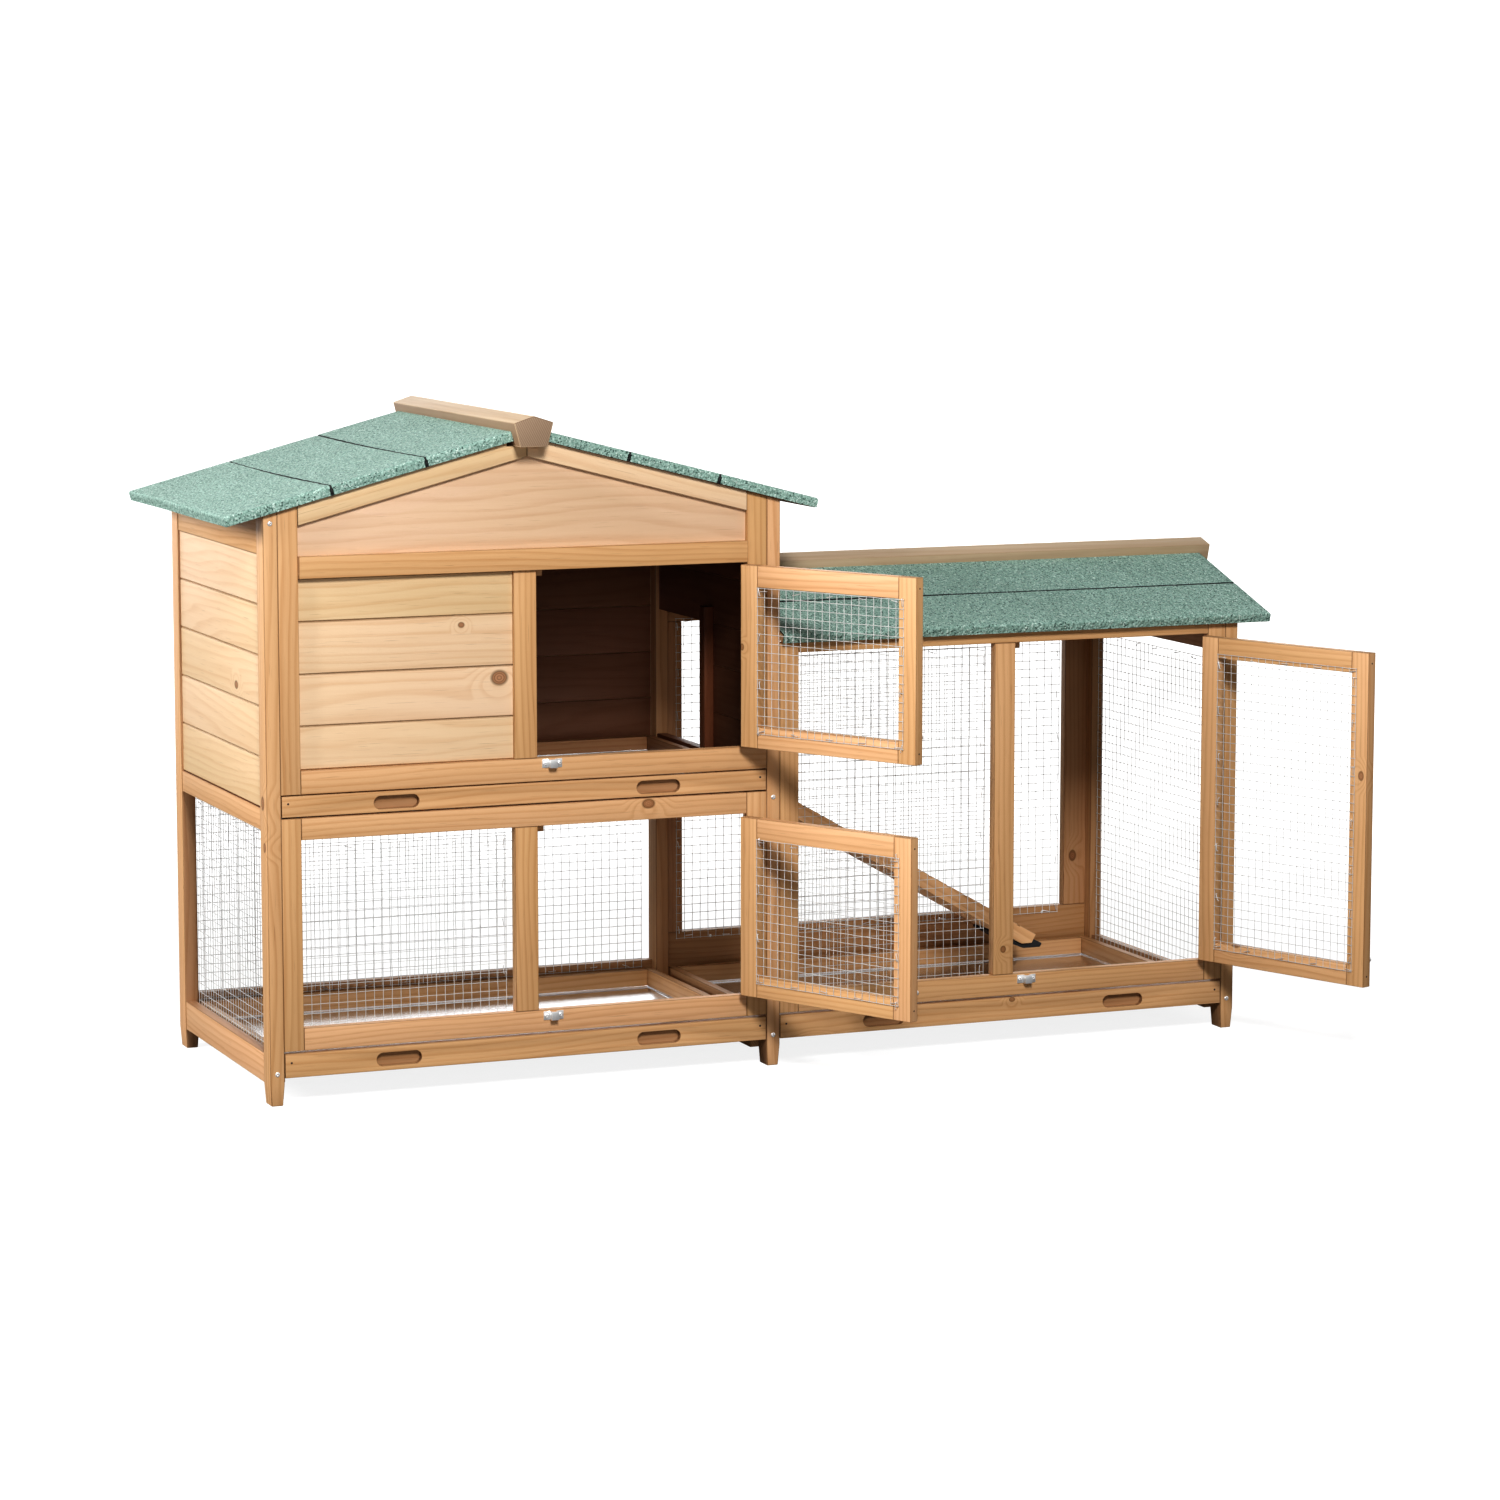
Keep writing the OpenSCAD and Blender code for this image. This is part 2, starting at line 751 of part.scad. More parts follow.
module run_bolt() {
    color(zinc) swung(run_hinge_x, run_angle) bolt(lower_sill_z);
}

// tray: front board with two finger slots, two sides and a back
module tray_frame(x0, x1, z0, high) {
    mid = (x0 + x1) / 2;
    side_x0 = x0 + 1.5;
    side_x1 = x1 - 1.5;
    back = back_y + 9;
    difference() {
        slab(x0, x1, 0, frame_t, z0, z0 + high);
        for (side = [-1, 1]) translate([mid + side * slot_off, 0, z0 + high / 2 - 1])
            finger_slot();
    }
    for (x = [side_x0, side_x1 - side_t])
        slab(x, x + side_t, frame_t + seam, back, z0 + pan_t, z0 + high - 5);
    slab(side_x0 + side_t + seam, side_x1 - side_t - seam, back - side_t, back,
        z0 + pan_t, z0 + high - 5);
}

// routed recess that fingers hook into; it stops short of the board's back
module finger_slot() {
    r = slot_h / 2;
    translate([0, slot_deep, 0]) rotate([90, 0, 0]) linear_extrude(slot_deep + 1) {
        square([slot_w - slot_h, slot_h], center = true);
        for (side = [-1, 1]) translate([side * (slot_w / 2 - r), 0]) circle(r = r, $fn = 48);
    }
}

// galvanised sheet under the tray sides with a low lip inside them
module tray_pan(x0, x1, z0) {
    inner0 = x0 + 1.5 + side_t;
    inner1 = x1 - 1.5 - side_t;
    back = back_y + 9;
    difference() {
        union() {
            slab(x0 + 1.5, x1 - 1.5, frame_t, back, z0, z0 + pan_t);
            slab(inner0, inner1, frame_t, back - side_t, z0, z0 + pan_lip);
        }
        slab(inner0 + pan_t, inner1 - pan_t, frame_t + pan_t, back - side_t - pan_t,
            z0 + pan_t, z0 + pan_lip + 1);
    }
}

module upper_tray() {
    color(wood) place() tray_frame(inner_l + 1, inner_r - 1, shelf_z + 2, 28.5);
}

module upper_pan() {
    color(zinc) place() tray_pan(inner_l + 1, inner_r - 1, shelf_z + 2);
}

module lower_tray() {
    color(wood) place() tray_frame(inner_l + 1, inner_r - 1, tray_z, tray_h);
}

module lower_pan() {
    color(zinc) place() tray_pan(inner_l + 1, inner_r - 1, tray_z);
}

module run_tray() {
    color(wood) place() tray_frame(run_x + 1, run_end - post_w - 1, tray_z, tray_h);
}

module run_pan() {
    color(zinc) place() tray_pan(run_x + 1, run_end - post_w - 1, tray_z);
}

// bracket on the hatch sill; its barrel lies along Y at the local origin
module ramp_bracket() {
    difference() {
        union() {
            translate([0, -7, 0]) rotate([-90, 0, 0]) cylinder(h = 14, r = barrel_r, $fn = 32);
            slab(-4.5, 0, -7, 7, -barrel_r, -1);
            slab(-4.5, -3.3, -9, 9, -10, -1);
        }
        translate([0, -8, 0]) rotate([-90, 0, 0]) cylinder(h = 16, r = pin_r + 0.3, $fn = 32);
    }
}

module ramp_hinge_half() {
    translate([0, -14, 0]) rotate([-90, 0, 0]) cylinder(h = 28, r = pin_r, $fn = 32);
    for (y = [-14, 7.4]) {
        translate([0, y, 0]) rotate([-90, 0, 0]) cylinder(h = 6.6, r = barrel_r, $fn = 32);
        slab(0, 6, y, y + 6.6, 0.8, ramp_low);
    }
    slab(4, 26, -14, 14, 0.8, ramp_low);
}

// ramp frame: local X runs down the slope from the hinge pin
module on_ramp() {
    place() translate([ramp_hinge_x, ramp_y0, ramp_hinge_z]) rotate([0, ramp_pitch, 0])
        children();
}

// board with shallow grooves across its upper face and a low end cut level underneath
module ramp() {
    top = ramp_low + ramp_t;
    cut = ramp_len - foot_cut;
    color(wood) on_ramp() difference() {
        plate_xz([[4, ramp_low], [cut, ramp_low], [ramp_len, level_cut(cut, ramp_len)],
            [ramp_len, top], [4, top]], 0, ramp_w);
        for (i = [1:groove_count])
            slab(i * groove_step, i * groove_step + groove_w, -1, ramp_w + 1,
                top - groove_deep, top + 1);
    }
}

module ramp_hinges() {
    color(zinc) on_ramp() for (side = [0, 1]) translate([0, 34 + side * 60, 0])
        ramp_hinge_half();
}

// black rubber foot wrapped round the low end of the ramp, level underneath
module ramp_foot() {
    cut = ramp_len - foot_cut;
    low = ramp_low - foot_t;
    tip = ramp_len + foot_reach;
    heel = cut + 8;
    color(black) on_ramp()
        plate_xz([[ramp_len - foot_len, ramp_low], [cut, ramp_low],
            [ramp_len, level_cut(cut, ramp_len)], [ramp_len, ramp_low + foot_rise],
            [tip, ramp_low + foot_rise + 1], [tip, level_cut(heel, tip) - foot_t], [heel, low],
            [ramp_len - foot_len, low]], 4, ramp_w - 4);
}

house_posts();
run_posts();
upper_frame();
header_batten();
front_gable();
barge_boards();
front_cladding();
lower_frame();
left_rails();
left_cladding();
right_rails();
right_cladding();
back_rails();
back_cladding();
back_gable();
run_frame();
run_side_rails();
run_back_frame();
run_gable();
tray_runners();
centre_bearer();
lower_mesh();
left_mesh();
house_back_mesh();
run_front_mesh();
run_side_mesh();
run_back_mesh();
house_roof_boards();
house_felt();
house_ridge();
run_roof_boards();
run_felt();
run_ridge();
frame_screws();
bolt_keepers();
door_stops();
fixed_hinges();
upper_door();
upper_door_mesh();
upper_door_fittings();
upper_bolt();
lower_door();
lower_door_mesh();
lower_door_fittings();
lower_bolt();
run_door();
run_door_mesh();
run_door_fittings();
run_bolt();
upper_tray();
upper_pan();
lower_tray();
lower_pan();
run_tray();
run_pan();
ramp();
ramp_foot();
ramp_hinges();
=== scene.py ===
import json
import math

import bmesh
import bpy
import numpy as np
from mathutils import Matrix, Vector


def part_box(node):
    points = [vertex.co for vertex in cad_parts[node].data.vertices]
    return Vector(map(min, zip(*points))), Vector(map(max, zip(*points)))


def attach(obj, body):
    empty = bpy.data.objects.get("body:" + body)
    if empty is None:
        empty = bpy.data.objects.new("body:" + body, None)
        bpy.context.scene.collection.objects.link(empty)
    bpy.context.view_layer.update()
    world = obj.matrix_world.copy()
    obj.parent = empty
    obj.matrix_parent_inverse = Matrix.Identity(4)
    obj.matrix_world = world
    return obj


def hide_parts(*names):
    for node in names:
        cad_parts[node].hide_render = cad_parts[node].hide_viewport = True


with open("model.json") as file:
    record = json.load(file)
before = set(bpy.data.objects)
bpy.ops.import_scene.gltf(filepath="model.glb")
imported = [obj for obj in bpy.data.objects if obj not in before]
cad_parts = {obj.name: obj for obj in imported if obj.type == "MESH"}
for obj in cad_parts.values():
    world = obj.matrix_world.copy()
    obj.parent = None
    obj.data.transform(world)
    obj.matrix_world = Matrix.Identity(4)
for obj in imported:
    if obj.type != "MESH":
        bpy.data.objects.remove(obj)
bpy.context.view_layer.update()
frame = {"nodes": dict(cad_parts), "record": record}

MM = 0.001
# a knot placed far off every board: place along it, place across it and radius
NO_KNOT = (0.0, 9.0, 0.01)
# how far apart the boards' own parts of the texture lie, along, across and through
SEED_SHIFT = (31.7, 17.3, 7.9)
rng = np.random.default_rng(7)
body_of_node = {n: b for b, ns in frame["record"]["behaviour"]["bodies"].items() for n in ns}


# ---------------------------------------------------------------- shader helpers
class Shader:
    """A material and short ways to add nodes to it."""

    def __init__(self, name):
        self.mat = bpy.data.materials.new(name)
        self.mat.use_nodes = True
        self.tree = self.mat.node_tree
        self.bsdf = self.tree.nodes["Principled BSDF"]

    def add(self, kind, inputs=None, **props):
        node = self.tree.nodes.new(kind)
        for key, value in props.items():
            setattr(node, key, value)
        for key, value in (inputs or {}).items():
            self.put(node.inputs[key], value)
        return node

    def put(self, socket, value):
        if isinstance(value, bpy.types.NodeSocket):
            self.tree.links.new(value, socket)
        else:
            socket.default_value = value

    def math(self, op, a, b=0.0):
        return self.add("ShaderNodeMath", {0: a, 1: b}, operation=op).outputs[0]

    def plus(self, a, b):
        return self.math("ADD", a, b)

    def minus(self, a, b):
        return self.math("SUBTRACT", a, b)

    def times(self, a, b):
        return self.math("MULTIPLY", a, b)

    def length(self, a, b):
        """How far the point a, b is from the origin."""
        return self.math("SQRT", self.plus(self.times(a, a), self.times(b, b)))

    def step(self, value, low, high):
        """0 below low, 1 above high, a smooth step between."""
        node = self.add("ShaderNodeMapRange", {0: value, 1: low, 2: high})
        node.interpolation_type = "SMOOTHSTEP"
        return node.outputs[0]

    def span(self, value, low, high):
        """A value from 0 to 1 spread over low to high."""
        return self.add("ShaderNodeMapRange", {0: value, 3: low, 4: high}).outputs[0]

    def mix(self, factor, a, b, blend="MIX"):
        node = self.add("ShaderNodeMix", data_type="RGBA", blend_type=blend)
        for socket, value in ((0, factor), (6, a), (7, b)):
            if not isinstance(value, (bpy.types.NodeSocket, float, int)):
                value = (*value, 1.0)
            self.put(node.inputs[socket], value)
        return node.outputs[2]

    def shaded(self, color, tone):
        """A colour made lighter or darker by a tone, which is 1 where it stays."""
        return self.mix(1.0, color, self.vector(tone, tone, tone), "MULTIPLY")

    def attribute(self, name):
        return self.add("ShaderNodeAttribute", attribute_name=name)

    def vector(self, x, y, z):
        return self.add("ShaderNodeCombineXYZ", {0: x, 1: y, 2: z}).outputs[0]

    def split(self, vector):
        return self.add("ShaderNodeSeparateXYZ", {0: vector}).outputs

    def scaled(self, vector, sx, sy, sz):
        node = self.add("ShaderNodeVectorMath", {0: vector, 1: (sx, sy, sz)}, operation="MULTIPLY")
        return node.outputs[0]

    def noise(self, vector, scale=1.0, detail=2.0, rough=0.5):
        node = self.add("ShaderNodeTexNoise",
                        {"Vector": vector, "Scale": scale, "Detail": detail, "Roughness": rough})
        return node.outputs[0]

    def place(self):
        """Board coordinates, which each board reads from its own part of the texture."""
        seed = self.attribute("seed").outputs["Fac"]
        shift = self.vector(*[self.times(seed, apart) for apart in SEED_SHIFT])
        board = self.attribute("board").outputs["Vector"]
        return self.add("ShaderNodeVectorMath", {0: board, 1: shift}, operation="ADD").outputs[0]

    def bump(self, height, distance, strength=1.0):
        node = self.add("ShaderNodeBump", {"Height": height, "Distance": distance,
                                           "Strength": strength})
        self.put(self.bsdf.inputs["Normal"], node.outputs[0])

    def finish(self, color, rough, metallic=0.0):
        self.put(self.bsdf.inputs["Base Color"], color)
        self.put(self.bsdf.inputs["Roughness"], rough)
        self.bsdf.inputs["Metallic"].default_value = metallic
        return self.mat


# knots lie one to a cell: cells in a metre along and across a board, and how stretched a knot is
KNOTS_ALONG, KNOTS_ACROSS = 3.2, 12.0
KNOT_STRETCH, PLACED_KNOT_STRETCH = 0.7, 0.85
KNOT_RADIUS = (0.0022, 0.0065)
KNOT_HEART = (0.40, 0.19, 0.085), (0.20, 0.085, 0.035)
# painted shade: what the wood's own colour is multiplied by on faces inside the house and run, in
# the tray slots and on the ridges' upright faces
INSIDE_PAINTED_SHADE = (0.24, 0.15, 0.13)


def darker(color, share):
    return [c * share for c in color]


def wood(name, light, dark, knots, rings, contrast, rough, roam=7.0, ply=False):
    """Softwood: wandering growth rings along the board, knots, fibres and cut ends, with painted
    shade on eased edges and on inside faces.
    """
    s = Shader(name)
    p = s.place()
    x, y, z = s.split(p)
    wander = s.noise(s.scaled(p, 1.1, 6.0, 6.0), 1.0, 2.0)
    drift = s.noise(s.scaled(p, 3.5, 26.0, 26.0), 1.0, 2.0)

    # how many radii away the nearest knot is: one of the scattered ones or the placed one
    cells = s.add("ShaderNodeTexVoronoi",
                  {"Vector": s.vector(s.times(x, KNOTS_ALONG), s.times(y, KNOTS_ACROSS), 0.0),
                   "Scale": 1.0, "Randomness": 0.9}, voronoi_dimensions="2D")
    knot_x, knot_y, _ = s.split(cells.outputs["Position"])
    dx = s.times(s.minus(x, s.math("DIVIDE", knot_x, KNOTS_ALONG)), KNOT_STRETCH)
    dy = s.minus(y, s.math("DIVIDE", knot_y, KNOTS_ACROSS))
    pick, size, _ = s.split(cells.outputs["Color"])
    missing = s.times(s.math("LESS_THAN", pick, 1.0 - knots), 50.0)
    radius = s.span(size, *KNOT_RADIUS)
    near = s.plus(s.math("DIVIDE", s.length(dx, dy), radius), missing)
    spot_x, spot_y, spot_r = s.split(s.attribute("spot").outputs["Vector"])
    here_x, here_y, _ = s.split(s.attribute("board").outputs["Vector"])
    sx = s.times(s.minus(here_x, spot_x), PLACED_KNOT_STRETCH)
    sy = s.minus(here_y, spot_y)
    near = s.math("MINIMUM", near, s.math("DIVIDE", s.length(sx, sy), spot_r))
    core = s.minus(1.0, s.step(near, 0.75, 1.1))
    rim = s.minus(s.step(near, 0.6, 0.95), s.step(near, 0.98, 1.5))
    swirl = s.minus(1.0, s.step(near, 0.5, 5.5))

    # growth rings, which wander along the board and bend round the knots
    turns = s.plus(s.times(y, rings), s.times(wander, roam))
    turns = s.plus(turns, s.times(drift, 1.6))
    turns = s.plus(turns, s.times(swirl, 2.6))
    turns = s.plus(turns, s.times(z, rings * 0.6))
    phase = s.math("FRACT", turns)
    late = s.minus(s.step(phase, 0.35, 0.85), s.step(phase, 0.86, 1.0))
    fibre = s.noise(s.scaled(p, 9.0, 620.0, 620.0), 1.0, 3.0, 0.6)
    streak = s.noise(s.scaled(p, 2.2, 70.0, 70.0), 1.0, 3.0, 0.6)
    tone = s.noise(s.scaled(p, 1.4, 5.0, 5.0), 1.0, 1.0)
    amount = s.plus(s.times(late, contrast), s.times(s.minus(streak, 0.5), 0.9))
    amount = s.plus(amount, s.times(s.minus(fibre, 0.5), 0.35))
    color = s.mix(s.step(amount, -0.35, 1.15), light, dark)

    pores = s.step(s.noise(s.scaled(p, 22.0, 900.0, 900.0), 1.0, 1.0), 0.66, 0.78)
    color = s.mix(s.times(pores, 0.35), color, darker(dark, 0.45))
    color = s.mix(rim, color, darker(dark, 0.4))
    whorl = s.math("FRACT", s.times(near, 2.6))
    heart = s.mix(s.step(whorl, 0.3, 0.9), *KNOT_HEART)
    color = s.mix(s.times(core, 0.85), color, heart)
    own = s.add("ShaderNodeTexWhiteNoise", {"W": s.attribute("seed").outputs["Fac"]},
                noise_dimensions="1D").outputs[0]
    bright = s.times(s.span(tone, 0.90, 1.10), s.span(own, 0.93, 1.06))
    warm = s.vector(bright, bright, s.times(bright, bright))
    color = s.mix(1.0, color, warm, "MULTIPLY")

    # cut ends show the rings as arcs, or the layers of ply; eased edges get a little painted shade
    end = s.attribute("end").outputs["Fac"]
    if ply:
        layer = s.step(s.math("SINE", s.times(z, 2400.0)), -0.2, 0.2)
        cut = s.mix(layer, darker(light, 0.75), darker(dark, 0.5))
    else:
        arc = s.math("FRACT", s.times(s.length(y, z), 420.0))
        cut = s.mix(s.step(arc, 0.3, 0.95), darker(light, 0.72), darker(dark, 0.55))
    color = s.mix(end, color, cut)
    # painted shade along the eased edges, uneven along the streaks
    edge_shade = s.times(s.attribute("edge").outputs["Fac"], s.span(streak, 0.30, 0.85))
    color = s.mix(edge_shade, color, darker(dark, 0.45))
    # painted shade on inside faces, tray insides, finger slots and the ridges' upright faces, by
    # the inner attribute
    inner = s.attribute("inner").outputs["Fac"]
    color = s.mix(inner, color, s.mix(1.0, color, INSIDE_PAINTED_SHADE, "MULTIPLY"))

    relief = s.plus(s.times(late, 0.35), s.plus(fibre, s.times(rim, -0.8)))
    s.bump(relief, 0.00022, 0.55)
    gloss = s.plus(s.span(streak, rough - 0.07, rough + 0.10), s.times(end, 0.2))
    s.bsdf.inputs["Specular IOR Level"].default_value = 0.35
    return s.finish(color, gloss)


def felt_material():
    """Mineral roofing felt: crushed-slate granules on black bitumen, bare at cut edges."""
    s = Shader("mineral_felt")
    p = s.place()
    fine = s.add("ShaderNodeTexVoronoi", {"Vector": p, "Scale": 560.0})
    lumps = s.add("ShaderNodeTexVoronoi", {"Vector": p, "Scale": 230.0}, feature="SMOOTH_F1")
    lumps.inputs["Smoothness"].default_value = 0.6
    grain = s.split(fine.outputs["Color"])
    patch = s.noise(p, 9.0, 3.0, 0.6)
    cloud = s.noise(p, 60.0, 3.0)
    base = s.mix(s.step(grain[0], 0.1, 0.9), (0.235, 0.365, 0.310), (0.405, 0.575, 0.505))
    base = s.mix(s.step(grain[1], 0.90, 0.94), base, (0.64, 0.78, 0.71))
    base = s.mix(s.step(grain[2], 0.90, 0.94), base, (0.060, 0.105, 0.092))
    # painted shade: the hollows between the lumps, which the bump sinks, are darkened
    hollow = s.step(lumps.outputs["Distance"], 0.25, 0.75)
    base = s.mix(s.times(hollow, 0.30), base, (0.085, 0.165, 0.138))
    base = s.shaded(base, s.times(s.span(patch, 0.86, 1.14), s.span(cloud, 0.90, 1.08)))
    base = s.mix(s.attribute("end").outputs["Fac"], base, (0.012, 0.014, 0.014))
    height = s.minus(s.times(hollow, -1.4), fine.outputs["Distance"])
    s.bump(s.plus(height, s.times(patch, 0.7)), 0.0009, 0.8)
    s.bsdf.inputs["Specular IOR Level"].default_value = 0.5
    return s.finish(base, s.span(grain[1], 0.58, 0.80))


def metal_material(name, color, rough, metallic=1.0, spangle=0.0, grime=0.3, dents=0.00004):
    """Galvanised or zinc-plated steel: crystal patches, fine scratches and dull grime."""
    s = Shader(name)
    p = s.place()
    crystals = s.add("ShaderNodeTexVoronoi", {"Vector": p, "Scale": 95.0})
    tilt = s.split(crystals.outputs["Color"])[0]
    smear = s.noise(p, 35.0, 4.0, 0.6)
    scratch = s.noise(s.scaled(p, 30.0, 1500.0, 1500.0), 1.0, 2.0)
    shade = s.plus(s.times(s.minus(tilt, 0.5), spangle), s.times(s.minus(smear, 0.5), grime))
    base = s.shaded(color, s.plus(1.0, shade))
    gloss = s.plus(rough, s.plus(s.times(shade, 0.35), s.times(scratch, 0.10)))
    s.bump(s.plus(s.times(scratch, 0.5), smear), dents, 0.35)
    return s.finish(base, gloss, metallic)


def rubber_material():
    """Black rubber, mottled and a little dusty."""
    s = Shader("black_rubber")
    p = s.place()
    mottled = s.noise(p, 180.0, 4.0, 0.6)
    dust = s.step(s.noise(p, 24.0, 3.0), 0.45, 0.8)
    base = s.mix(s.times(dust, 0.35), (0.012, 0.012, 0.013), (0.075, 0.068, 0.060))
    s.bump(mottled, 0.0004, 0.6)
    return s.finish(base, s.span(mottled, 0.55, 0.85))


MATS = {
    "fir": wood("honey_fir", (0.70, 0.435, 0.235), (0.50, 0.255, 0.105), knots=0.12, rings=115.0,
                contrast=0.42, rough=0.46),
    "pale_boards": wood("pale_fir", (0.79, 0.590, 0.390), (0.64, 0.405, 0.225), knots=0.12,
                        rings=70.0, contrast=0.34, rough=0.50, roam=10.0),
    "ridge_wood": wood("ridge_fir", (0.86, 0.68, 0.49), (0.72, 0.50, 0.32), knots=0.12,
                       rings=80.0, contrast=0.34, rough=0.50, roam=9.0),
    "gable_ply": wood("poplar_ply", (0.76, 0.545, 0.400), (0.62, 0.390, 0.260), knots=0.10,
                      rings=60.0, contrast=0.35, rough=0.52, ply=True),
    "roof_felt": felt_material(),
    "wire": metal_material("galvanised_wire", (0.64, 0.64, 0.63), rough=0.42, metallic=0.3),
    "tray_zinc": metal_material("galvanised_sheet", (0.74, 0.75, 0.77), rough=0.17,
                                spangle=0.06, grime=0.09, dents=0.000012),
    "zinc": metal_material("zinc_plate", (0.80, 0.80, 0.80), rough=0.26, metallic=0.7),
    "black_rubber": rubber_material(),
    "dark_steel": metal_material("dark_steel", (0.07, 0.05, 0.04), rough=0.5, metallic=0.5),
}
slot_of_node = {r["node"]: r["material_slot"] for r in frame["record"]["subparts"]}


# ---------------------------------------------------------------- geometry helpers
class Builder:
    """Collects vertices, faces and the attributes that the materials read."""

    def __init__(self):
        self.verts, self.faces, self.board, self.seed, self.end = [], [], [], [], []
        # inner holds each face's share of painted inside shade; edge marks the eased faces, which
        # take painted shade
        self.edge, self.spot, self.inner = [], [], []

    def add(self, verts, faces, board, seed, end, edge=None, spot=NO_KNOT, inner=None):
        start = len(self.verts)
        self.verts.extend(verts)
        self.faces.extend([tuple(start + i for i in f) for f in faces])
        self.board.extend(board)
        self.seed.extend([seed] * len(verts))
        self.end.extend(end)
        self.edge.extend(edge or [0.0] * len(faces))
        self.inner.extend(inner or [0.0] * len(faces))
        self.spot.extend([spot] * len(verts))

    def make(self, name, material, smooth_angle=35.0):
        mesh = bpy.data.meshes.new(name)
        mesh.from_pydata([tuple(v) for v in self.verts], [], self.faces)
        for key, kind, domain, values, field in (
                ("board", "FLOAT_VECTOR", "POINT", self.board, "vector"),
                ("seed", "FLOAT", "POINT", self.seed, "value"),
                ("spot", "FLOAT_VECTOR", "POINT", self.spot, "vector"),
                ("edge", "FLOAT", "FACE", self.edge, "value"),
                ("inner", "FLOAT", "FACE", self.inner, "value"),
                ("end", "FLOAT", "FACE", self.end, "value")):
            layer = mesh.attributes.new(key, kind, domain)
            layer.data.foreach_set(field, np.array(values, dtype=np.float32).ravel())
        mesh.polygons.foreach_set("use_smooth", [True] * len(mesh.polygons))
        mesh.update()
        mesh.set_sharp_from_angle(angle=math.radians(smooth_angle))
        obj = bpy.data.objects.new(name, mesh)
        bpy.context.scene.collection.objects.link(obj)
        obj.data.materials.append(material)
        return obj


# points closer than this are one: WELD in a CAD mesh, COLLAPSE in a finished one
WELD, COLLAPSE = 0.004 * MM, 0.002 * MM
SHEET_WELD = 0.003 * MM


def islands(node):
    """The separate closed solids of a CAD node, flat faces merged, in the row frame."""
    source = frame["nodes"][node]
    whole = bmesh.new()
    whole.from_mesh(source.data)
    whole.transform(source.matrix_world)
    bmesh.ops.remove_doubles(whole, verts=whole.verts, dist=WELD)
    bmesh.ops.dissolve_limit(whole, angle_limit=math.radians(0.4), verts=whole.verts,
                             edges=whole.edges)
    whole.verts.index_update()
    whole.faces.index_update()
    seen, found = set(), []
    for first in whole.verts:
        if first in seen:
            continue
        seen.add(first)
        stack, group = [first], []
        while stack:
            v = stack.pop()
            group.append(v)
            for e in v.link_edges:
                w = e.other_vert(v)
                if w not in seen:
                    seen.add(w)
                    stack.append(w)
        # in the mesh's own order, so that every run builds and shades the solid alike
        found.append(sorted(group, key=lambda v: v.index))
    out = []
    for group in sorted(found, key=lambda g: tuple(round(c, 5) for c in min(v.co[:] for v in g))):
        part, new = bmesh.new(), {}
        for v in group:
            new[v] = part.verts.new(v.co)
        for f in sorted({f for v in group for f in v.link_faces}, key=lambda f: f.index):
            part.faces.new([new[v] for v in f.verts])
        bmesh.ops.recalc_face_normals(part, faces=part.faces)
        out.append(part)
    whole.free()
    return out


def axes_of(part):
    """Centre and unit axes of a solid: along its longest edge, across, and through it."""
    longest = max(part.edges, key=lambda e: round(e.calc_length(), 5))
    along = (longest.verts[1].co - longest.verts[0].co).normalized()
    if along[max(range(3), key=lambda i: abs(along[i]))] < 0:
        along = -along
    flat = [f for f in part.faces if abs(f.normal.dot(along)) < 0.3]
    through = max(flat, key=lambda f: round(f.calc_area(), 7)).normal.copy()
    through = (through - along * through.dot(along)).normalized()
    across = through.cross(along)
    points = [v.co for v in part.verts]
    centre = Vector((0, 0, 0))
    for axis in (along, across, through):
        reach = [q.dot(axis) for q in points]
        centre += axis * (min(reach) + max(reach)) / 2
    return centre, along, across, through


def bevel(part, width, segments):
    """Ease the edges where faces meet at more than 25 degrees."""
    edges = [e for e in part.edges
             if len(e.link_faces) == 2 and e.calc_face_angle(0.0) > math.radians(25)]
    bmesh.ops.bevel(part, geom=edges, offset=width, offset_type="OFFSET", segments=segments,
                    profile=0.6, affect="EDGES", clamp_overlap=True)
    bmesh.ops.dissolve_degenerate(part, dist=COLLAPSE, edges=part.edges)


def add_part(builder, part, seed, board_axes, ends, spot, painted_shade_of):
    """A solid added to a builder with its board coordinates, cut ends and eased edges marked, and
    each face's share of painted inside shade.
    """
    centre, along, across, through = board_axes
    part.verts.index_update()
    verts = [v.co.copy() for v in part.verts]
    board = [((v - centre).dot(along), (v - centre).dot(across), (v - centre).dot(through))
             for v in verts]
    faces = [[v.index for v in f.verts] for f in part.faces]
    end = [1.0 if ends and abs(f.normal.dot(along)) > 0.75 else 0.0 for f in part.faces]
    edge = [1.0 if max(abs(f.normal.dot(a)) for a in (along, across, through)) < 0.975 else 0.0
            for f in part.faces]
    # each face's share of painted inside shade
    inner = [painted_shade_of(f) if painted_shade_of else 0.0 for f in part.faces]
    builder.add(verts, faces, board, seed, end, edge, spot, inner)


# the middle of the house and of the run, which their inside faces look towards
HOUSE_MIDDLE = Vector((-0.372, 0.128, 0.55))
RUN_MIDDLE = Vector((0.362, 0.128, 0.35))
CABIN_FLOOR = 0.37
WALL_NODES = ("back_rails", "back_cladding", "back_gable", "left_cladding", "left_rails",
              "right_rails", "right_cladding", "run_back_frame", "run_side_rails", "house_posts",
              "run_posts", "run_gable", "tray_runners", "centre_bearer", "house_roof_boards",
              "run_roof_boards")
# how much of the painted inside shade a face takes
CABIN_SHADE, ROOM_SHADE, RIDGE_SHADE = 1.0, 0.5, 0.5
UPPER_TRAY_SHADE, LOWER_TRAY_SHADE, SLOT_SHADE = 0.75, 0.35, 0.5
# depths in a tray's front, in mm: its thickness, the slots' walls and the slots' back
TRAY_FRONT, SLOT_WALLS, SLOT_BACK = 14.5, (3.4, 5.2), (7.7, 8.3)


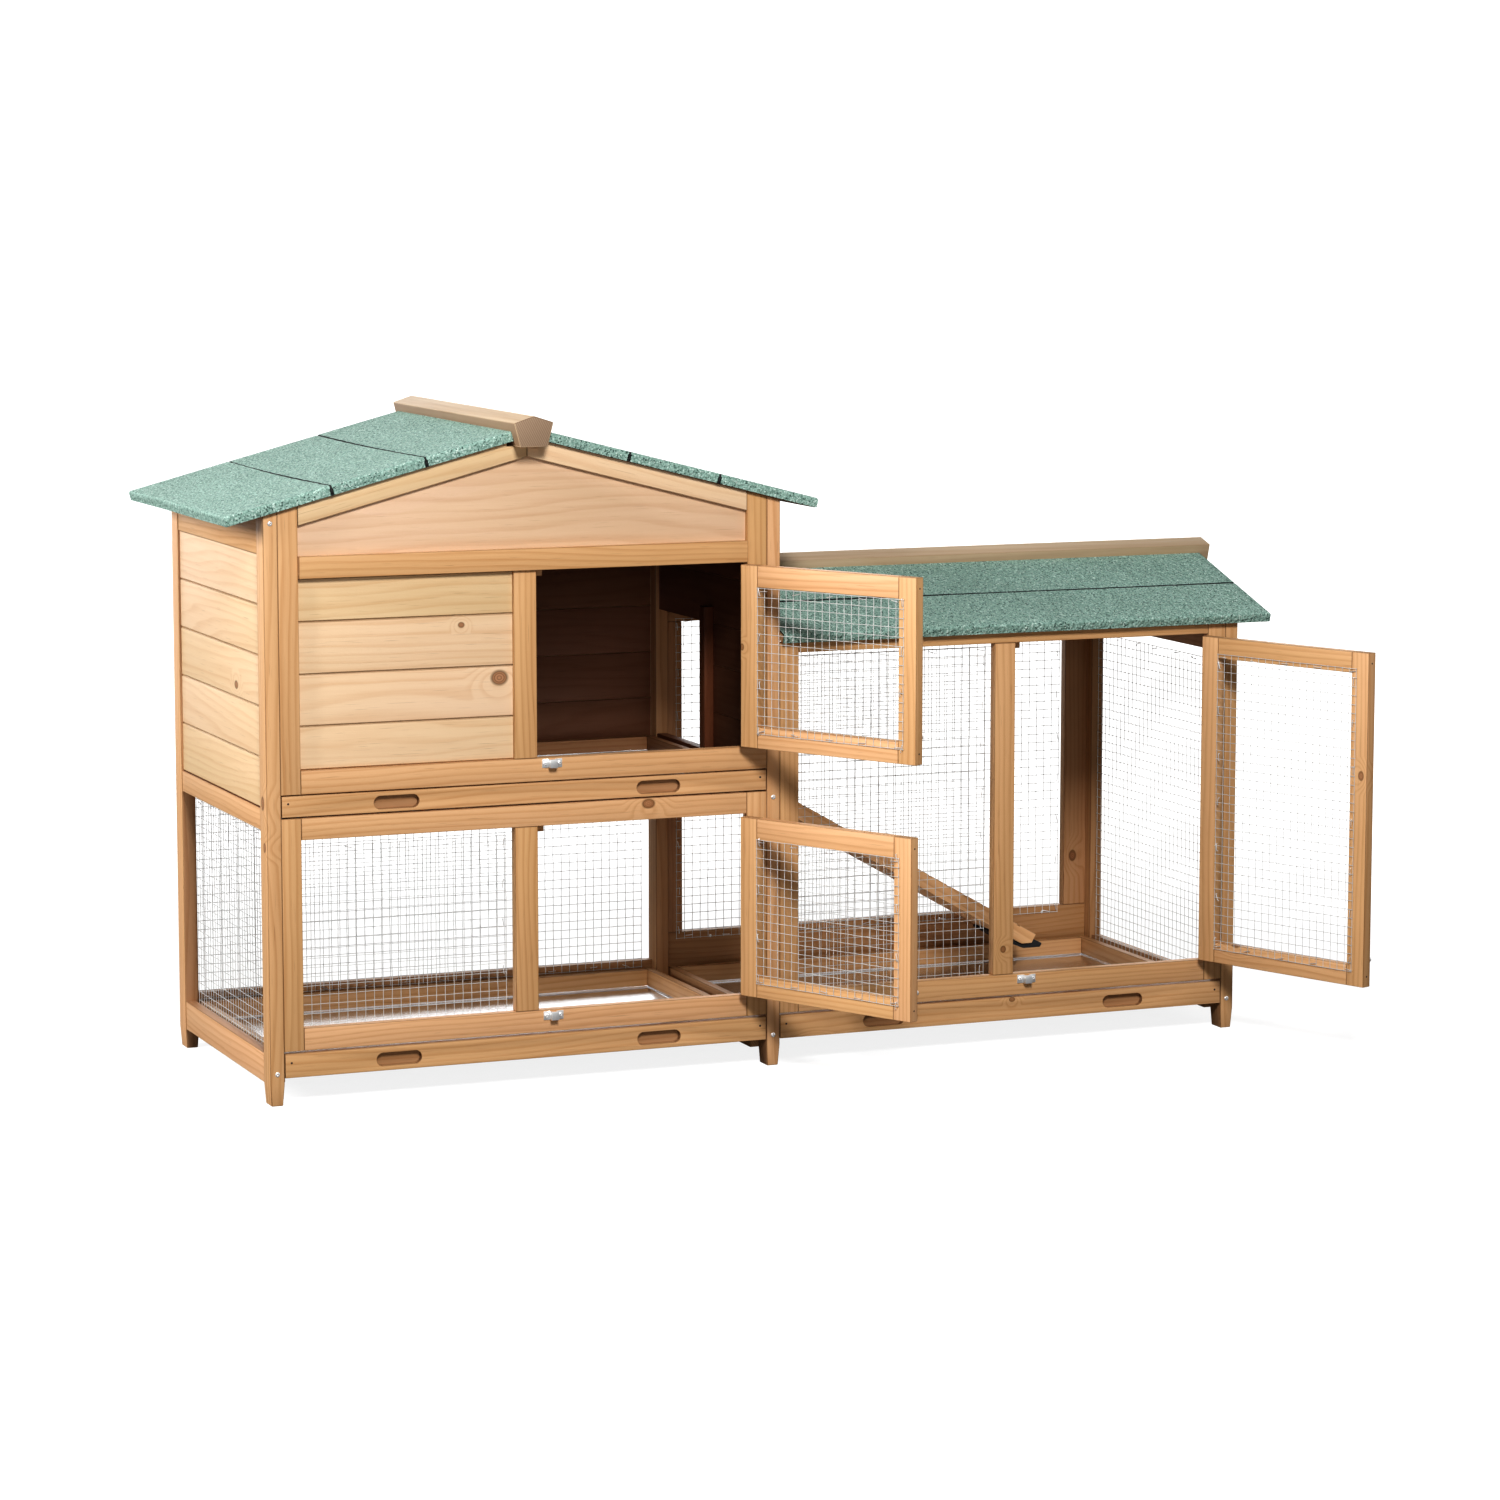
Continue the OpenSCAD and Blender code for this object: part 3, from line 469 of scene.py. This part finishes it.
def inside_shade(node):
    """A function that says how much painted inside shade a face of the node takes, or None for
    none.
    """
    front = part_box(node)[0][1]

    # faces that look into the house or run take painted shade, fully in the upper cabin
    def wall(face):
        at = face.calc_center_median()
        if node == "right_rails":
            return CABIN_SHADE if face.normal.x < 0.5 else 0.0
        middle = HOUSE_MIDDLE if at.x < 0 else RUN_MIDDLE
        if face.normal.dot(middle - at) <= 0.12:
            return 0.0
        in_cabin = at.x < 0 and at.z > CABIN_FLOOR and node != "house_posts"
        return CABIN_SHADE if in_cabin else ROOM_SHADE

    # a tray's inside and its finger slots' walls and back take painted shade
    def tray(face):
        depth = (face.calc_center_median().y - front) / MM
        if depth > TRAY_FRONT:
            return UPPER_TRAY_SHADE if node == "upper_tray" else LOWER_TRAY_SHADE
        on_wall = SLOT_WALLS[0] < depth < SLOT_WALLS[1]
        on_back = SLOT_BACK[0] < depth < SLOT_BACK[1] and face.normal.y < -0.9
        return SLOT_SHADE if on_wall or on_back else 0.0

    # the ridge beams' upright faces take painted shade too
    def ridge(face):
        sideways = max(abs(face.normal.x), abs(face.normal.y)) > 0.96
        return RIDGE_SHADE if sideways else 0.0

    if node in WALL_NODES:
        return wall
    if node.endswith("_tray"):
        return tray
    return ridge if node.endswith("_ridge") else None


def finish_piece(obj, node, replaces=()):
    """Tie a piece to its body, and hide the CAD nodes that it replaces."""
    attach(obj, body_of_node[node])
    if replaces:
        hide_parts(*replaces)


def solid_piece(node, edge, suffix, segments=2, ends=False):
    """A CAD node rebuilt solid by solid with eased edges and its own texture coordinates."""
    builder = Builder()
    for index, part in enumerate(islands(node)):
        axes = axes_of(part)
        bevel(part, edge, segments)
        spot = KNOTS.get((node, index), NO_KNOT)
        add_part(builder, part, float(rng.random()), axes, ends, spot, inside_shade(node))
        part.free()
    obj = builder.make(f"{node}_{suffix}", MATS[LOOKS.get(node, slot_of_node[node])])
    finish_piece(obj, node, [node])


def tube(builder, points, radius, seed):
    """A thin round wire along points, with closed ends."""
    sides = 6
    verts, board, faces = [], [], []
    run = 0.0
    for i, q in enumerate(points):
        ahead = points[min(i + 1, len(points) - 1)] - points[max(i - 1, 0)]
        ahead.normalize()
        side = ahead.cross(Vector((0.31, 0.17, 0.94))).normalized()
        top = side.cross(ahead)
        if i:
            run += (q - points[i - 1]).length
        for k in range(sides):
            a = 2 * math.pi * k / sides
            verts.append(q + (side * math.cos(a) + top * math.sin(a)) * radius)
            board.append((run, radius * math.cos(a), radius * math.sin(a)))
    for i in range(len(points) - 1):
        for k in range(sides):
            n = (k + 1) % sides
            faces.append((i * sides + k, i * sides + n, (i + 1) * sides + n, (i + 1) * sides + k))
    last = (len(points) - 1) * sides
    faces.append(tuple(reversed(range(sides))))
    faces.append(tuple(last + k for k in range(sides)))
    builder.add(verts, faces, board, seed, [0.0] * len(faces))


# ---------------------------------------------------------------- woodwork
# the knots placed as in the photo: node and board, then place along, place across and radius
KNOTS = {("front_cladding", 1): (0.132, -0.0185, 0.0085),
         ("front_cladding", 2): (0.078, -0.0225, 0.0032),
         ("house_posts", 0): (-0.05, 0.004, 0.0045),
         ("run_frame", 3): (-0.203, 0.0, 0.0035)}
# the ridge beams are of paler wood than the frames
LOOKS = {"house_ridge": "ridge_wood", "run_ridge": "ridge_wood"}
# how far edges are eased, in mm, where it isn't 0.8
WOOD_EDGE = {"house_posts": 1.1, "run_posts": 1.1, "house_ridge": 1.4, "run_ridge": 1.4,
             "front_gable": 0.4, "back_gable": 0.4, "run_gable": 0.4, "house_roof_boards": 0.6,
             "run_roof_boards": 0.6}
WOOD_SLOTS = ("fir", "pale_boards", "gable_ply")
for node_name in sorted(frame["nodes"]):
    if slot_of_node[node_name] in WOOD_SLOTS:
        solid_piece(node_name, WOOD_EDGE.get(node_name, 0.8) * MM, "wood", ends=True)

# ---------------------------------------------------------------- welded mesh and staples
PITCH = 12.7 * MM
WIRE_R = 0.45 * MM
# how far the two layers of wires lie from the sheet's middle, which is a little under a radius
WIRE_LAY = WIRE_R * 0.93
# from the sheet's edge to its first wire, the waviness, and how far wires run past the last one
WIRE_EDGE, WIRE_WAVE, WIRE_START, WIRE_STOP = 0.55 * MM, 0.16 * MM, 0.8 * MM, 1.2 * MM
STAPLE_R, STAPLE_CROWN, STAPLE_LEG, STAPLE_PITCH = 0.55 * MM, 5.2 * MM, 1.5 * MM, 62 * MM
UP = Vector((0, 0, 1))


def panel_axes(node):
    """Lowest corner, sideways and outward unit vectors, width and height of a mesh panel."""
    source = frame["nodes"][node]
    pts = np.array([source.matrix_world @ v.co for v in source.data.vertices])
    flat = pts[:, :2] - pts[:, :2].mean(0)
    _, vectors = np.linalg.eigh(flat.T @ flat)
    side = vectors[:, 1] * np.sign(vectors[np.argmax(np.abs(vectors[:, 1])), 1])
    out = np.array([side[1], -side[0]])
    s, n = pts[:, :2] @ side, pts[:, :2] @ out
    corner = side * s.min() + out * (n.min() + n.max()) / 2
    low = Vector((corner[0], corner[1], pts[:, 2].min()))
    return low, Vector((*side, 0)), Vector((*out, 0)), s.max() - s.min(), np.ptp(pts[:, 2])


def wire_panel(node, frame_node):
    """Every wire of a mesh sheet in two layers, the upright ones on its frame's side."""
    low, side, out, width, height = panel_axes(node)
    holder = np.array([frame["nodes"][frame_node].matrix_world @ v.co
                       for v in frame["nodes"][frame_node].data.vertices])
    if node.endswith("door_mesh"):
        middle = Vector(holder.mean(0))
    else:
        middle = Vector((holder[:, 0].mean(), holder[:, 1].mean(), 0))
    centre = low + side * width / 2
    away = -1.0 if (middle - centre).dot(out) > 0 else 1.0
    out = out * away
    builder = Builder()
    across, high = int(width / PITCH + 0.05), int(height / PITCH + 0.05)
    wobble = rng.normal(0, WIRE_WAVE, (across + 1, high + 1, 2))
    for i in range(across + 1):
        pts = [low + side * (i * PITCH + WIRE_EDGE + wobble[i, j, 0]) + UP * (j * PITCH)
               - out * WIRE_LAY for j in range(high + 1)]
        pts[0] -= UP * WIRE_START
        pts[-1] += UP * WIRE_STOP
        tube(builder, pts, WIRE_R, float(rng.random()))
    for j in range(high + 1):
        pts = [low + side * (i * PITCH) + UP * (j * PITCH + WIRE_EDGE + wobble[i, j, 1])
               + out * WIRE_LAY for i in range(across + 1)]
        pts[0] -= side * WIRE_START
        pts[-1] += side * WIRE_STOP
        tube(builder, pts, WIRE_R, float(rng.random()))
    finish_piece(builder.make(f"{node}_wires", MATS["wire"]), node, [node])
    return low, side, out, across * PITCH, high * PITCH


def staples(node, low, side, out, width, height, edges):
    """Wire staples every few centimetres along a sheet's edges, crowns over the wires."""
    builder = Builder()
    lift = WIRE_R * 2.4

    def staple(at, along):
        turn = Matrix.Rotation(float(rng.normal(0, 0.16)), 3, out)
        reach = turn @ along * STAPLE_CROWN
        shoulder, leg = out * lift * 0.8, out * STAPLE_LEG
        pts = [at - reach - leg, at - reach + shoulder, at - reach * 0.82 + out * lift,
               at + reach * 0.82 + out * lift, at + reach + shoulder, at + reach - leg]
        tube(builder, pts, STAPLE_R, float(rng.random()))

    # the first point, direction, length and inward direction of each edge
    borders = {"b": (low, side, width, UP), "t": (low + UP * height, side, width, -UP),
               "l": (low, UP, height, side), "r": (low + side * width, UP, height, -side)}
    for edge, (start, run, length, inward) in borders.items():
        if edge not in edges:
            continue
        count = max(3, int(length / STAPLE_PITCH))
        for k in range(count + 1):
            where = length * (0.03 + 0.94 * k / count) + float(rng.normal(0, 3 * MM))
            staple(start + run * where + inward * float(rng.uniform(2, 5)) * MM, run)
    finish_piece(builder.make(f"{node}_staples", MATS["zinc"]), node)


PANELS = {"lower_mesh": "lower_frame", "left_mesh": "left_rails", "house_back_mesh": "back_rails",
          "run_front_mesh": "run_frame", "run_side_mesh": "run_side_rails",
          "run_back_mesh": "run_back_frame", "upper_door_mesh": "upper_door",
          "lower_door_mesh": "lower_door", "run_door_mesh": "run_door"}
# rails alone hold these sheets, so only their top and bottom edges are stapled
TOP_AND_BOTTOM = ("left_mesh", "house_back_mesh", "run_side_mesh")
for node_name, holder_name in PANELS.items():
    sheet = wire_panel(node_name, holder_name)
    staples(node_name, *sheet, edges="tb" if node_name in TOP_AND_BOTTOM else "lrtb")


# ---------------------------------------------------------------- roofing felt
# the radius of the roll over an eave, how far the felt hangs below it, and its thickness
ROLL, LIP, FELT = 3.2 * MM, 13.4 * MM, 2.3 * MM
FELT_STEP = 12 * MM
# how far a hand-cut edge strays, slowly and quickly, and how uneven a strip's face is
WAVER, FINE_WAVER, UNEVEN = 0.35 * MM, 0.25 * MM, 0.12 * MM
# the underlay: its thickness, how deep it lies, and how far it shows each side of a joint
UNDERLAY, UNDERLAY_DEPTH, UNDERLAY_SIDES = 0.8 * MM, 0.9 * MM, (1.0 * MM, 1.6 * MM)


def rolled(start, stop, near, far):
    """Samples (distance, fall) of a section whose near or far end rolls over an edge."""
    out = []
    if near:
        out += [(start, -LIP), (start, -LIP * 0.55), (start, -ROLL)]
        out += [(start + ROLL * (1 - math.sin(t)), -ROLL * (1 - math.cos(t))) for t in (1.0, 0.5)]
    low, high = start + (ROLL if near else 0), stop - (ROLL if far else 0)
    count = max(2, int((high - low) / FELT_STEP))
    out += [(low + (high - low) * k / count, 0.0) for k in range(count + 1)]
    if far:
        out += [(stop - ROLL * (1 - math.sin(t)), -ROLL * (1 - math.cos(t))) for t in (0.5, 1.0)]
        out += [(stop, -ROLL), (stop, -LIP * 0.55), (stop, -LIP)]
    return out


def sheet_solid(builder, verts, wide, board, outward, thick, seed, bare=False):
    """A grid of points, wide to a row, made a sheet with some thickness: outer skin, inner skin
    and the cut edge between them. All of a bare sheet looks like its cut edge."""
    faces = [(i + j, i + j + 1, i + wide + j + 1, i + wide + j)
             for i in range(0, len(verts) - wide, wide) for j in range(wide - 1)]
    sheet = bmesh.new()
    layer = sheet.verts.layers.float_vector.new("board")
    made = [sheet.verts.new(q) for q in verts]
    for v, place in zip(made, board):
        v[layer] = place
    for f in faces:
        sheet.faces.new([made[k] for k in f])
    # rolled corners bring several points to one place
    bmesh.ops.remove_doubles(sheet, verts=sheet.verts, dist=SHEET_WELD)
    board = [v[layer][:] for v in sheet.verts]
    bmesh.ops.recalc_face_normals(sheet, faces=sheet.faces)
    sheet.normal_update()
    if sum(f.normal.dot(outward) for f in sheet.faces) < 0:
        bmesh.ops.reverse_faces(sheet, faces=sheet.faces)
        sheet.normal_update()
    sheet.verts.index_update()
    count = len(sheet.verts)
    outer = [[v.index for v in f.verts] for f in sheet.faces]
    inner = [[count + k for k in reversed(f)] for f in outer]
    rim = []
    for e in sheet.edges:
        if len(e.link_faces) == 1:
            loop = e.link_loops[0]
            first, second = loop.vert.index, loop.link_loop_next.vert.index
            rim.append((second, first, count + first, count + second))
    skin = [v.co.copy() for v in sheet.verts]
    skin += [v.co - v.normal * thick for v in sheet.verts]
    builder.add(skin, outer + inner + rim, board + board, seed,
                [1.0 if bare else 0.0] * len(outer) + [1.0] * (len(inner) + len(rim)))
    sheet.free()


def felt_pieces(node, along, near_lip, sag, joint):
    """The strips as soft sheets, cut by hand where they meet and rolled over the edges.

    The sag is how far a cut bows down the slope, and the joint half the gap between strips."""
    builder = Builder()
    ridge = Vector(along)
    strips = []
    for part in islands(node):
        normal = max((f for f in part.faces if f.normal.z > 0.5), key=lambda f: f.calc_area())
        normal = normal.normal.copy()
        down = ridge.cross(normal)
        if down.z > 0:
            down = -down
        pts = np.array([v.co[:] for v in part.verts])
        u, v, n = (pts @ np.array(a[:]) for a in (down, ridge, normal))
        strips.append((normal, down, u.min(), u.max(), v.min(), v.max(), n.max()))
        part.free()
    for normal, down, u0, u1, v0, v1, top in strips:

        def cut_line(b):
            """How far down the slope the hand-cut edge strays at b along the ridge."""
            return sag * math.sin(math.pi * ((b - v0) / (v1 - v0))) + WAVER * math.sin(b * 141)

        family = [q for q in strips if q[0].dot(normal) > 0.9]
        first = u0 < min(q[2] for q in family) + MM
        eave = u1 > max(q[3] for q in family) - MM
        rows = rolled(u0 + (0 if first else joint), u1 - (0 if eave else joint), False, eave)
        cols = rolled(v0, v1, near_lip, True)
        waves = rng.normal(0, 1, (7, 3))
        verts, board = [], []
        for a, fall_a in rows:
            for b, fall_b in cols:
                into = (a - u0) / (u1 - u0)
                bend = cut_line(b) + FINE_WAVER * math.sin(b * 263 + 1)
                share = (0 if first else 1 - into) + (0 if eave else into)
                ripple = sum(w[0] * math.sin(w[1] * 9 * a + w[2] * 11 * b + k)
                             for k, w in enumerate(waves)) * UNEVEN
                height = top + ripple + min(fall_a, fall_b)
                verts.append(down * (a + bend * share) + ridge * b + normal * height)
                board.append((b, a, fall_a + fall_b))
        sheet_solid(builder, verts, len(cols), board, normal, FELT, float(rng.random()))
        if not eave:
            # bitumen underlay that shows black in the joint below this strip
            verts, board = [], []
            for a in (u1 - joint - UNDERLAY_SIDES[0], u1 + joint + UNDERLAY_SIDES[1]):
                for b, fall_b in cols:
                    height = top - UNDERLAY_DEPTH + fall_b * 0.97
                    verts.append(down * (a + cut_line(b)) + ridge * b + normal * height)
                    board.append((b, a, fall_b))
            sheet_solid(builder, verts, len(cols), board, normal, UNDERLAY, 0.5, bare=True)
    finish_piece(builder.make(f"{node}_strips", MATS["roof_felt"], 40.0), node, [node])


felt_pieces("house_felt", (0, 1, 0), near_lip=True, sag=4.0 * MM, joint=1.2 * MM)
felt_pieces("run_felt", (1, 0, 0), near_lip=False, sag=0.6 * MM, joint=2.2 * MM)

# ---------------------------------------------------------------- metal and rubber
for node_name in ("upper_pan", "lower_pan", "run_pan"):
    solid_piece(node_name, 0.3 * MM, "sheet")
for node_name in ("bolt_keepers", "fixed_hinges", "upper_door_fittings",
                  "lower_door_fittings", "run_door_fittings", "upper_bolt", "lower_bolt",
                  "run_bolt", "ramp_hinges"):
    solid_piece(node_name, 0.25 * MM, "plated")
solid_piece("ramp_foot", 2.0 * MM, "rubber", segments=3)

HEAD_RINGS, HEAD_SIDES = 9, 40
# as shares of a screw head's radius: its height, and the recess's half width and reach
DOME, CROSS_WIDE, CROSS_REACH = 0.42, 0.14, 0.66
# the circles of a nail head: share of its radius, and height above the wood in mm
NAIL_SIDES = 14
NAIL_RINGS = ((1.0, -0.6), (1.0, 0.10), (0.7, 0.28))


def circle(radius, sides):
    """Points of a circle round the origin."""
    turn = 2 * math.pi / sides
    return [(radius * math.cos(turn * k), radius * math.sin(turn * k)) for k in range(sides)]


def screw_mesh(builder, at, facing, radius, seed):
    """Domed screw head with a pressed cross recess and a flat back."""
    side = facing.orthogonal().normalized()
    turn = Matrix.Rotation(float(rng.uniform(0, math.pi)), 3, facing)
    side = turn @ side
    top = facing.cross(side)
    verts, board = [], []
    for i in range(HEAD_RINGS + 1):
        r = radius * i / HEAD_RINGS
        dome = DOME * radius * math.sqrt(max(0.0, 1 - (r / radius) ** 2 * 0.96))
        for x, y in circle(r, HEAD_SIDES if i else 1):
            arm, reach = min(abs(x), abs(y)), max(abs(x), abs(y))
            inside = (max(0.0, 1 - arm / (CROSS_WIDE * radius))
                      * max(0.0, 1 - reach / (CROSS_REACH * radius)))
            depth = DOME * radius * min(1.0, inside * 2.6)
            verts.append(at + side * x + top * y + facing * (dome - depth))
            board.append((x, y, dome))
    for x, y in circle(radius, HEAD_SIDES):
        verts.append(at + side * x + top * y - facing * 0.3 * MM)
        board.append((x, y, 0))
    # the middle, the rings from there to the sunk back ring, and the back
    faces = [(0, 1 + k, 1 + (k + 1) % HEAD_SIDES) for k in range(HEAD_SIDES)]
    for i in range(HEAD_RINGS):
        inner, outer = 1 + i * HEAD_SIDES, 1 + (i + 1) * HEAD_SIDES
        for k in range(HEAD_SIDES):
            n = (k + 1) % HEAD_SIDES
            faces.append((inner + k, outer + k, outer + n, inner + n))
    back = 1 + HEAD_RINGS * HEAD_SIDES
    faces.append(tuple(reversed(range(back, back + HEAD_SIDES))))
    builder.add(verts, faces, board, seed, [0.0] * len(faces))


FRONTWARD = Vector((0, -1, 0))
screws = Builder()
for part in islands("frame_screws"):
    pts = np.array([v.co[:] for v in part.verts])
    centre = (pts.min(0) + pts.max(0)) / 2
    screw_mesh(screws, Vector((centre[0], pts[:, 1].max(), centre[2])), FRONTWARD,
               np.ptp(pts[:, 0]) / 2, float(rng.random()))
    part.free()
finish_piece(screws.make("frame_screw_heads", MATS["zinc"]), "frame_screws", ["frame_screws"])


def nail_heads(node, spots, facing, radius, look):
    """Small domed nail heads standing a hair above the wood."""
    builder = Builder()
    side = facing.orthogonal().normalized()
    top = facing.cross(side)
    for spot in spots:
        verts = [spot + (side * x + top * y) * radius * share + facing * rise * MM
                 for share, rise in NAIL_RINGS for x, y in circle(1.0, NAIL_SIDES)]
        board = [(v - spot)[:] for v in verts]
        faces = []
        for start in (0, NAIL_SIDES):
            for k in range(NAIL_SIDES):
                here, after = start + k, start + (k + 1) % NAIL_SIDES
                faces.append((here, after, after + NAIL_SIDES, here + NAIL_SIDES))
        faces.append(tuple(reversed(range(NAIL_SIDES))))
        faces.append(tuple(range(2 * NAIL_SIDES, 3 * NAIL_SIDES)))
        builder.add(verts, faces, board, float(rng.random()), [0.0] * len(faces))
    finish_piece(builder.make(f"{node}_nails", MATS[look]), node)


# two nails in each tray's front, one near each end and a little above the middle
NAIL_INSET, NAIL_LIFT = 9 * MM, 4 * MM
for node_name in ("upper_tray", "lower_tray", "run_tray"):
    low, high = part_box(node_name)
    rise = (low[2] + high[2]) / 2 + NAIL_LIFT
    spots = [Vector((x, low[1], rise)) for x in (low[0] + NAIL_INSET, high[0] - NAIL_INSET)]
    nail_heads(node_name, spots, FRONTWARD, 1.5 * MM, "dark_steel")
# two in the free edge of each door, near its ends
DOOR_NAIL_INSET = 15 * MM
for joint in frame["record"]["behaviour"]["joints"]:
    if not joint["name"].endswith("door_hinge"):
        continue
    node_name = joint["child"]
    low, side, out, width, height = panel_axes(node_name)
    pivot = Vector((joint["pos_m"][0], joint["pos_m"][1], low.z))
    away = 1.0 if (low - pivot).length < (low + side * width - pivot).length else -1.0
    edge = low + side * width if away > 0 else low
    spots = [Vector((edge.x, edge.y, low.z + rise))
             for rise in (DOOR_NAIL_INSET, height - DOOR_NAIL_INSET)]
    nail_heads(node_name, spots, side * away, 1.3 * MM, "dark_steel")
# and two bright ones in the foot rail of the run's back frame, this share of its length inward
RAIL_NAIL_SHARE, RAIL_NAIL_RISE = 0.105, 107 * MM
low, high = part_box("run_back_frame")
spots = [Vector((low[0] + share * (high[0] - low[0]), low[1], RAIL_NAIL_RISE))
         for share in (RAIL_NAIL_SHARE, 1 - RAIL_NAIL_SHARE)]
nail_heads("run_back_frame", spots, FRONTWARD, 2.2 * MM, "zinc")

# ---------------------------------------------------------------- floor, light and camera
WHITE = (1.0, 1.0, 1.0, 1.0)
FLOOR_HALF = 14.0
# the floor fades into white between these distances from the middle
FADE_FROM, FADE_TO = 0.9, 2.6
# how white the near floor is made, and what it looks like to anything but the camera
FLOOR_LIFT, FLOOR_DIM = 0.6, (0.20, 0.20, 0.20, 1.0)
# the surroundings' strength: for light that falls on the object, and what it mirrors of full white
AMBIENT, MIRRORED = 0.03, 0.7

floor_mesh = bpy.data.meshes.new("studio_floor")
corners = [(x * FLOOR_HALF, y * FLOOR_HALF, 0) for x, y in ((-1, -1), (1, -1), (1, 1), (-1, 1))]
floor_mesh.from_pydata(corners, [], [(0, 1, 2, 3)])
floor = bpy.data.objects.new("studio_floor", floor_mesh)
bpy.context.scene.collection.objects.link(floor)
s = Shader("studio_floor")
here = s.add("ShaderNodeTexCoord").outputs["Object"]
speck = s.noise(here, 3.0, 2.0)
paper = s.finish(s.mix(speck, (0.90, 0.90, 0.90), (0.93, 0.93, 0.93)), 0.9)
s.bsdf.inputs["Specular IOR Level"].default_value = 0.2
white = s.add("ShaderNodeEmission", {"Color": WHITE, "Strength": 1.0}).outputs[0]
lifted = s.add("ShaderNodeMixShader", {0: FLOOR_LIFT, 1: s.bsdf.outputs[0], 2: white})
far = s.add("ShaderNodeVectorMath", {0: here}, operation="LENGTH").outputs["Value"]
blend = s.add("ShaderNodeMixShader", {0: s.step(far, FADE_FROM, FADE_TO), 1: lifted.outputs[0],
                                      2: white})
dim = s.add("ShaderNodeBsdfDiffuse", {"Color": FLOOR_DIM})
eye = s.add("ShaderNodeLightPath").outputs["Is Camera Ray"]
both = s.add("ShaderNodeMixShader", {0: eye, 1: dim.outputs[0], 2: blend.outputs[0]})
s.put(s.tree.nodes["Material Output"].inputs["Surface"], both.outputs[0])
floor.data.materials.append(paper)

# white surroundings for the camera, nearly as bright in mirrors, and almost no light from them
world = bpy.data.worlds.new("studio")
bpy.context.scene.world = world
world.use_nodes = True
world_tree = world.node_tree
sky = world_tree.nodes["Background"]
seen = world_tree.nodes.new("ShaderNodeLightPath")
strength = world_tree.nodes.new("ShaderNodeMapRange")
strength.inputs[3].default_value, strength.inputs[4].default_value = AMBIENT, 1.0
mirror = world_tree.nodes.new("ShaderNodeMath")
mirror.operation = "MULTIPLY_ADD"
mirror.inputs[1].default_value = MIRRORED
world_tree.links.new(seen.outputs["Is Glossy Ray"], mirror.inputs[0])
world_tree.links.new(seen.outputs["Is Camera Ray"], mirror.inputs[2])
world_tree.links.new(mirror.outputs[0], strength.inputs[0])
world_tree.links.new(strength.outputs[0], sky.inputs[1])
sky.inputs[0].default_value = WHITE


def area_light(name, at, toward, wide, high, power):
    """A white rectangular soft light: places and sizes in metres, power in watts."""
    data = bpy.data.lights.new(name, "AREA")
    data.shape, data.size, data.size_y = "RECTANGLE", wide, high
    data.energy = power
    obj = bpy.data.objects.new(name, data)
    obj.location = at
    obj.rotation_mode = "QUATERNION"
    obj.rotation_quaternion = (Vector(toward) - Vector(at)).to_track_quat("-Z", "Y")
    bpy.context.scene.collection.objects.link(obj)


area_light("front_softbox", (-1.0, -3.7, 3.25), (-0.3, 0.0, 0.6), 1.0, 1.0, 146)
area_light("low_fill", (-1.9, -4.6, 1.1), (-0.3, 0.0, 0.5), 2.2, 1.2, 20)
area_light("left_softbox", (-4.2, 0.0, 2.0), (-0.4, 0.0, 0.5), 1.4, 1.4, 114)
area_light("backdrop_wash", (0.5, 5.0, 1.6), (0.2, 0.0, 0.6), 8.0, 3.2, 85)

# the camera that was fitted to the photo: place in metres, lens in mm, angles in degrees
CAMERA_AT = (-2.4237, -5.9023, 1.2994)
CAMERA_DOWN, CAMERA_RIGHT = 7.705, 22.305
LENS, SENSOR = 108.75, 36.0

scene = bpy.context.scene
scene.view_settings.view_transform = "Standard"
scene.view_settings.look = "High Contrast"
camera_data = bpy.data.cameras.new("camera")
camera_data.sensor_width, camera_data.lens = SENSOR, LENS
camera_data.clip_start, camera_data.clip_end = 0.05, 100.0
camera = bpy.data.objects.new("camera", camera_data)
scene.collection.objects.link(camera)
camera.location = CAMERA_AT
camera.rotation_mode = "XYZ"
camera.rotation_euler = (math.radians(90 - CAMERA_DOWN), 0.0, math.radians(-CAMERA_RIGHT))
scene.camera = camera
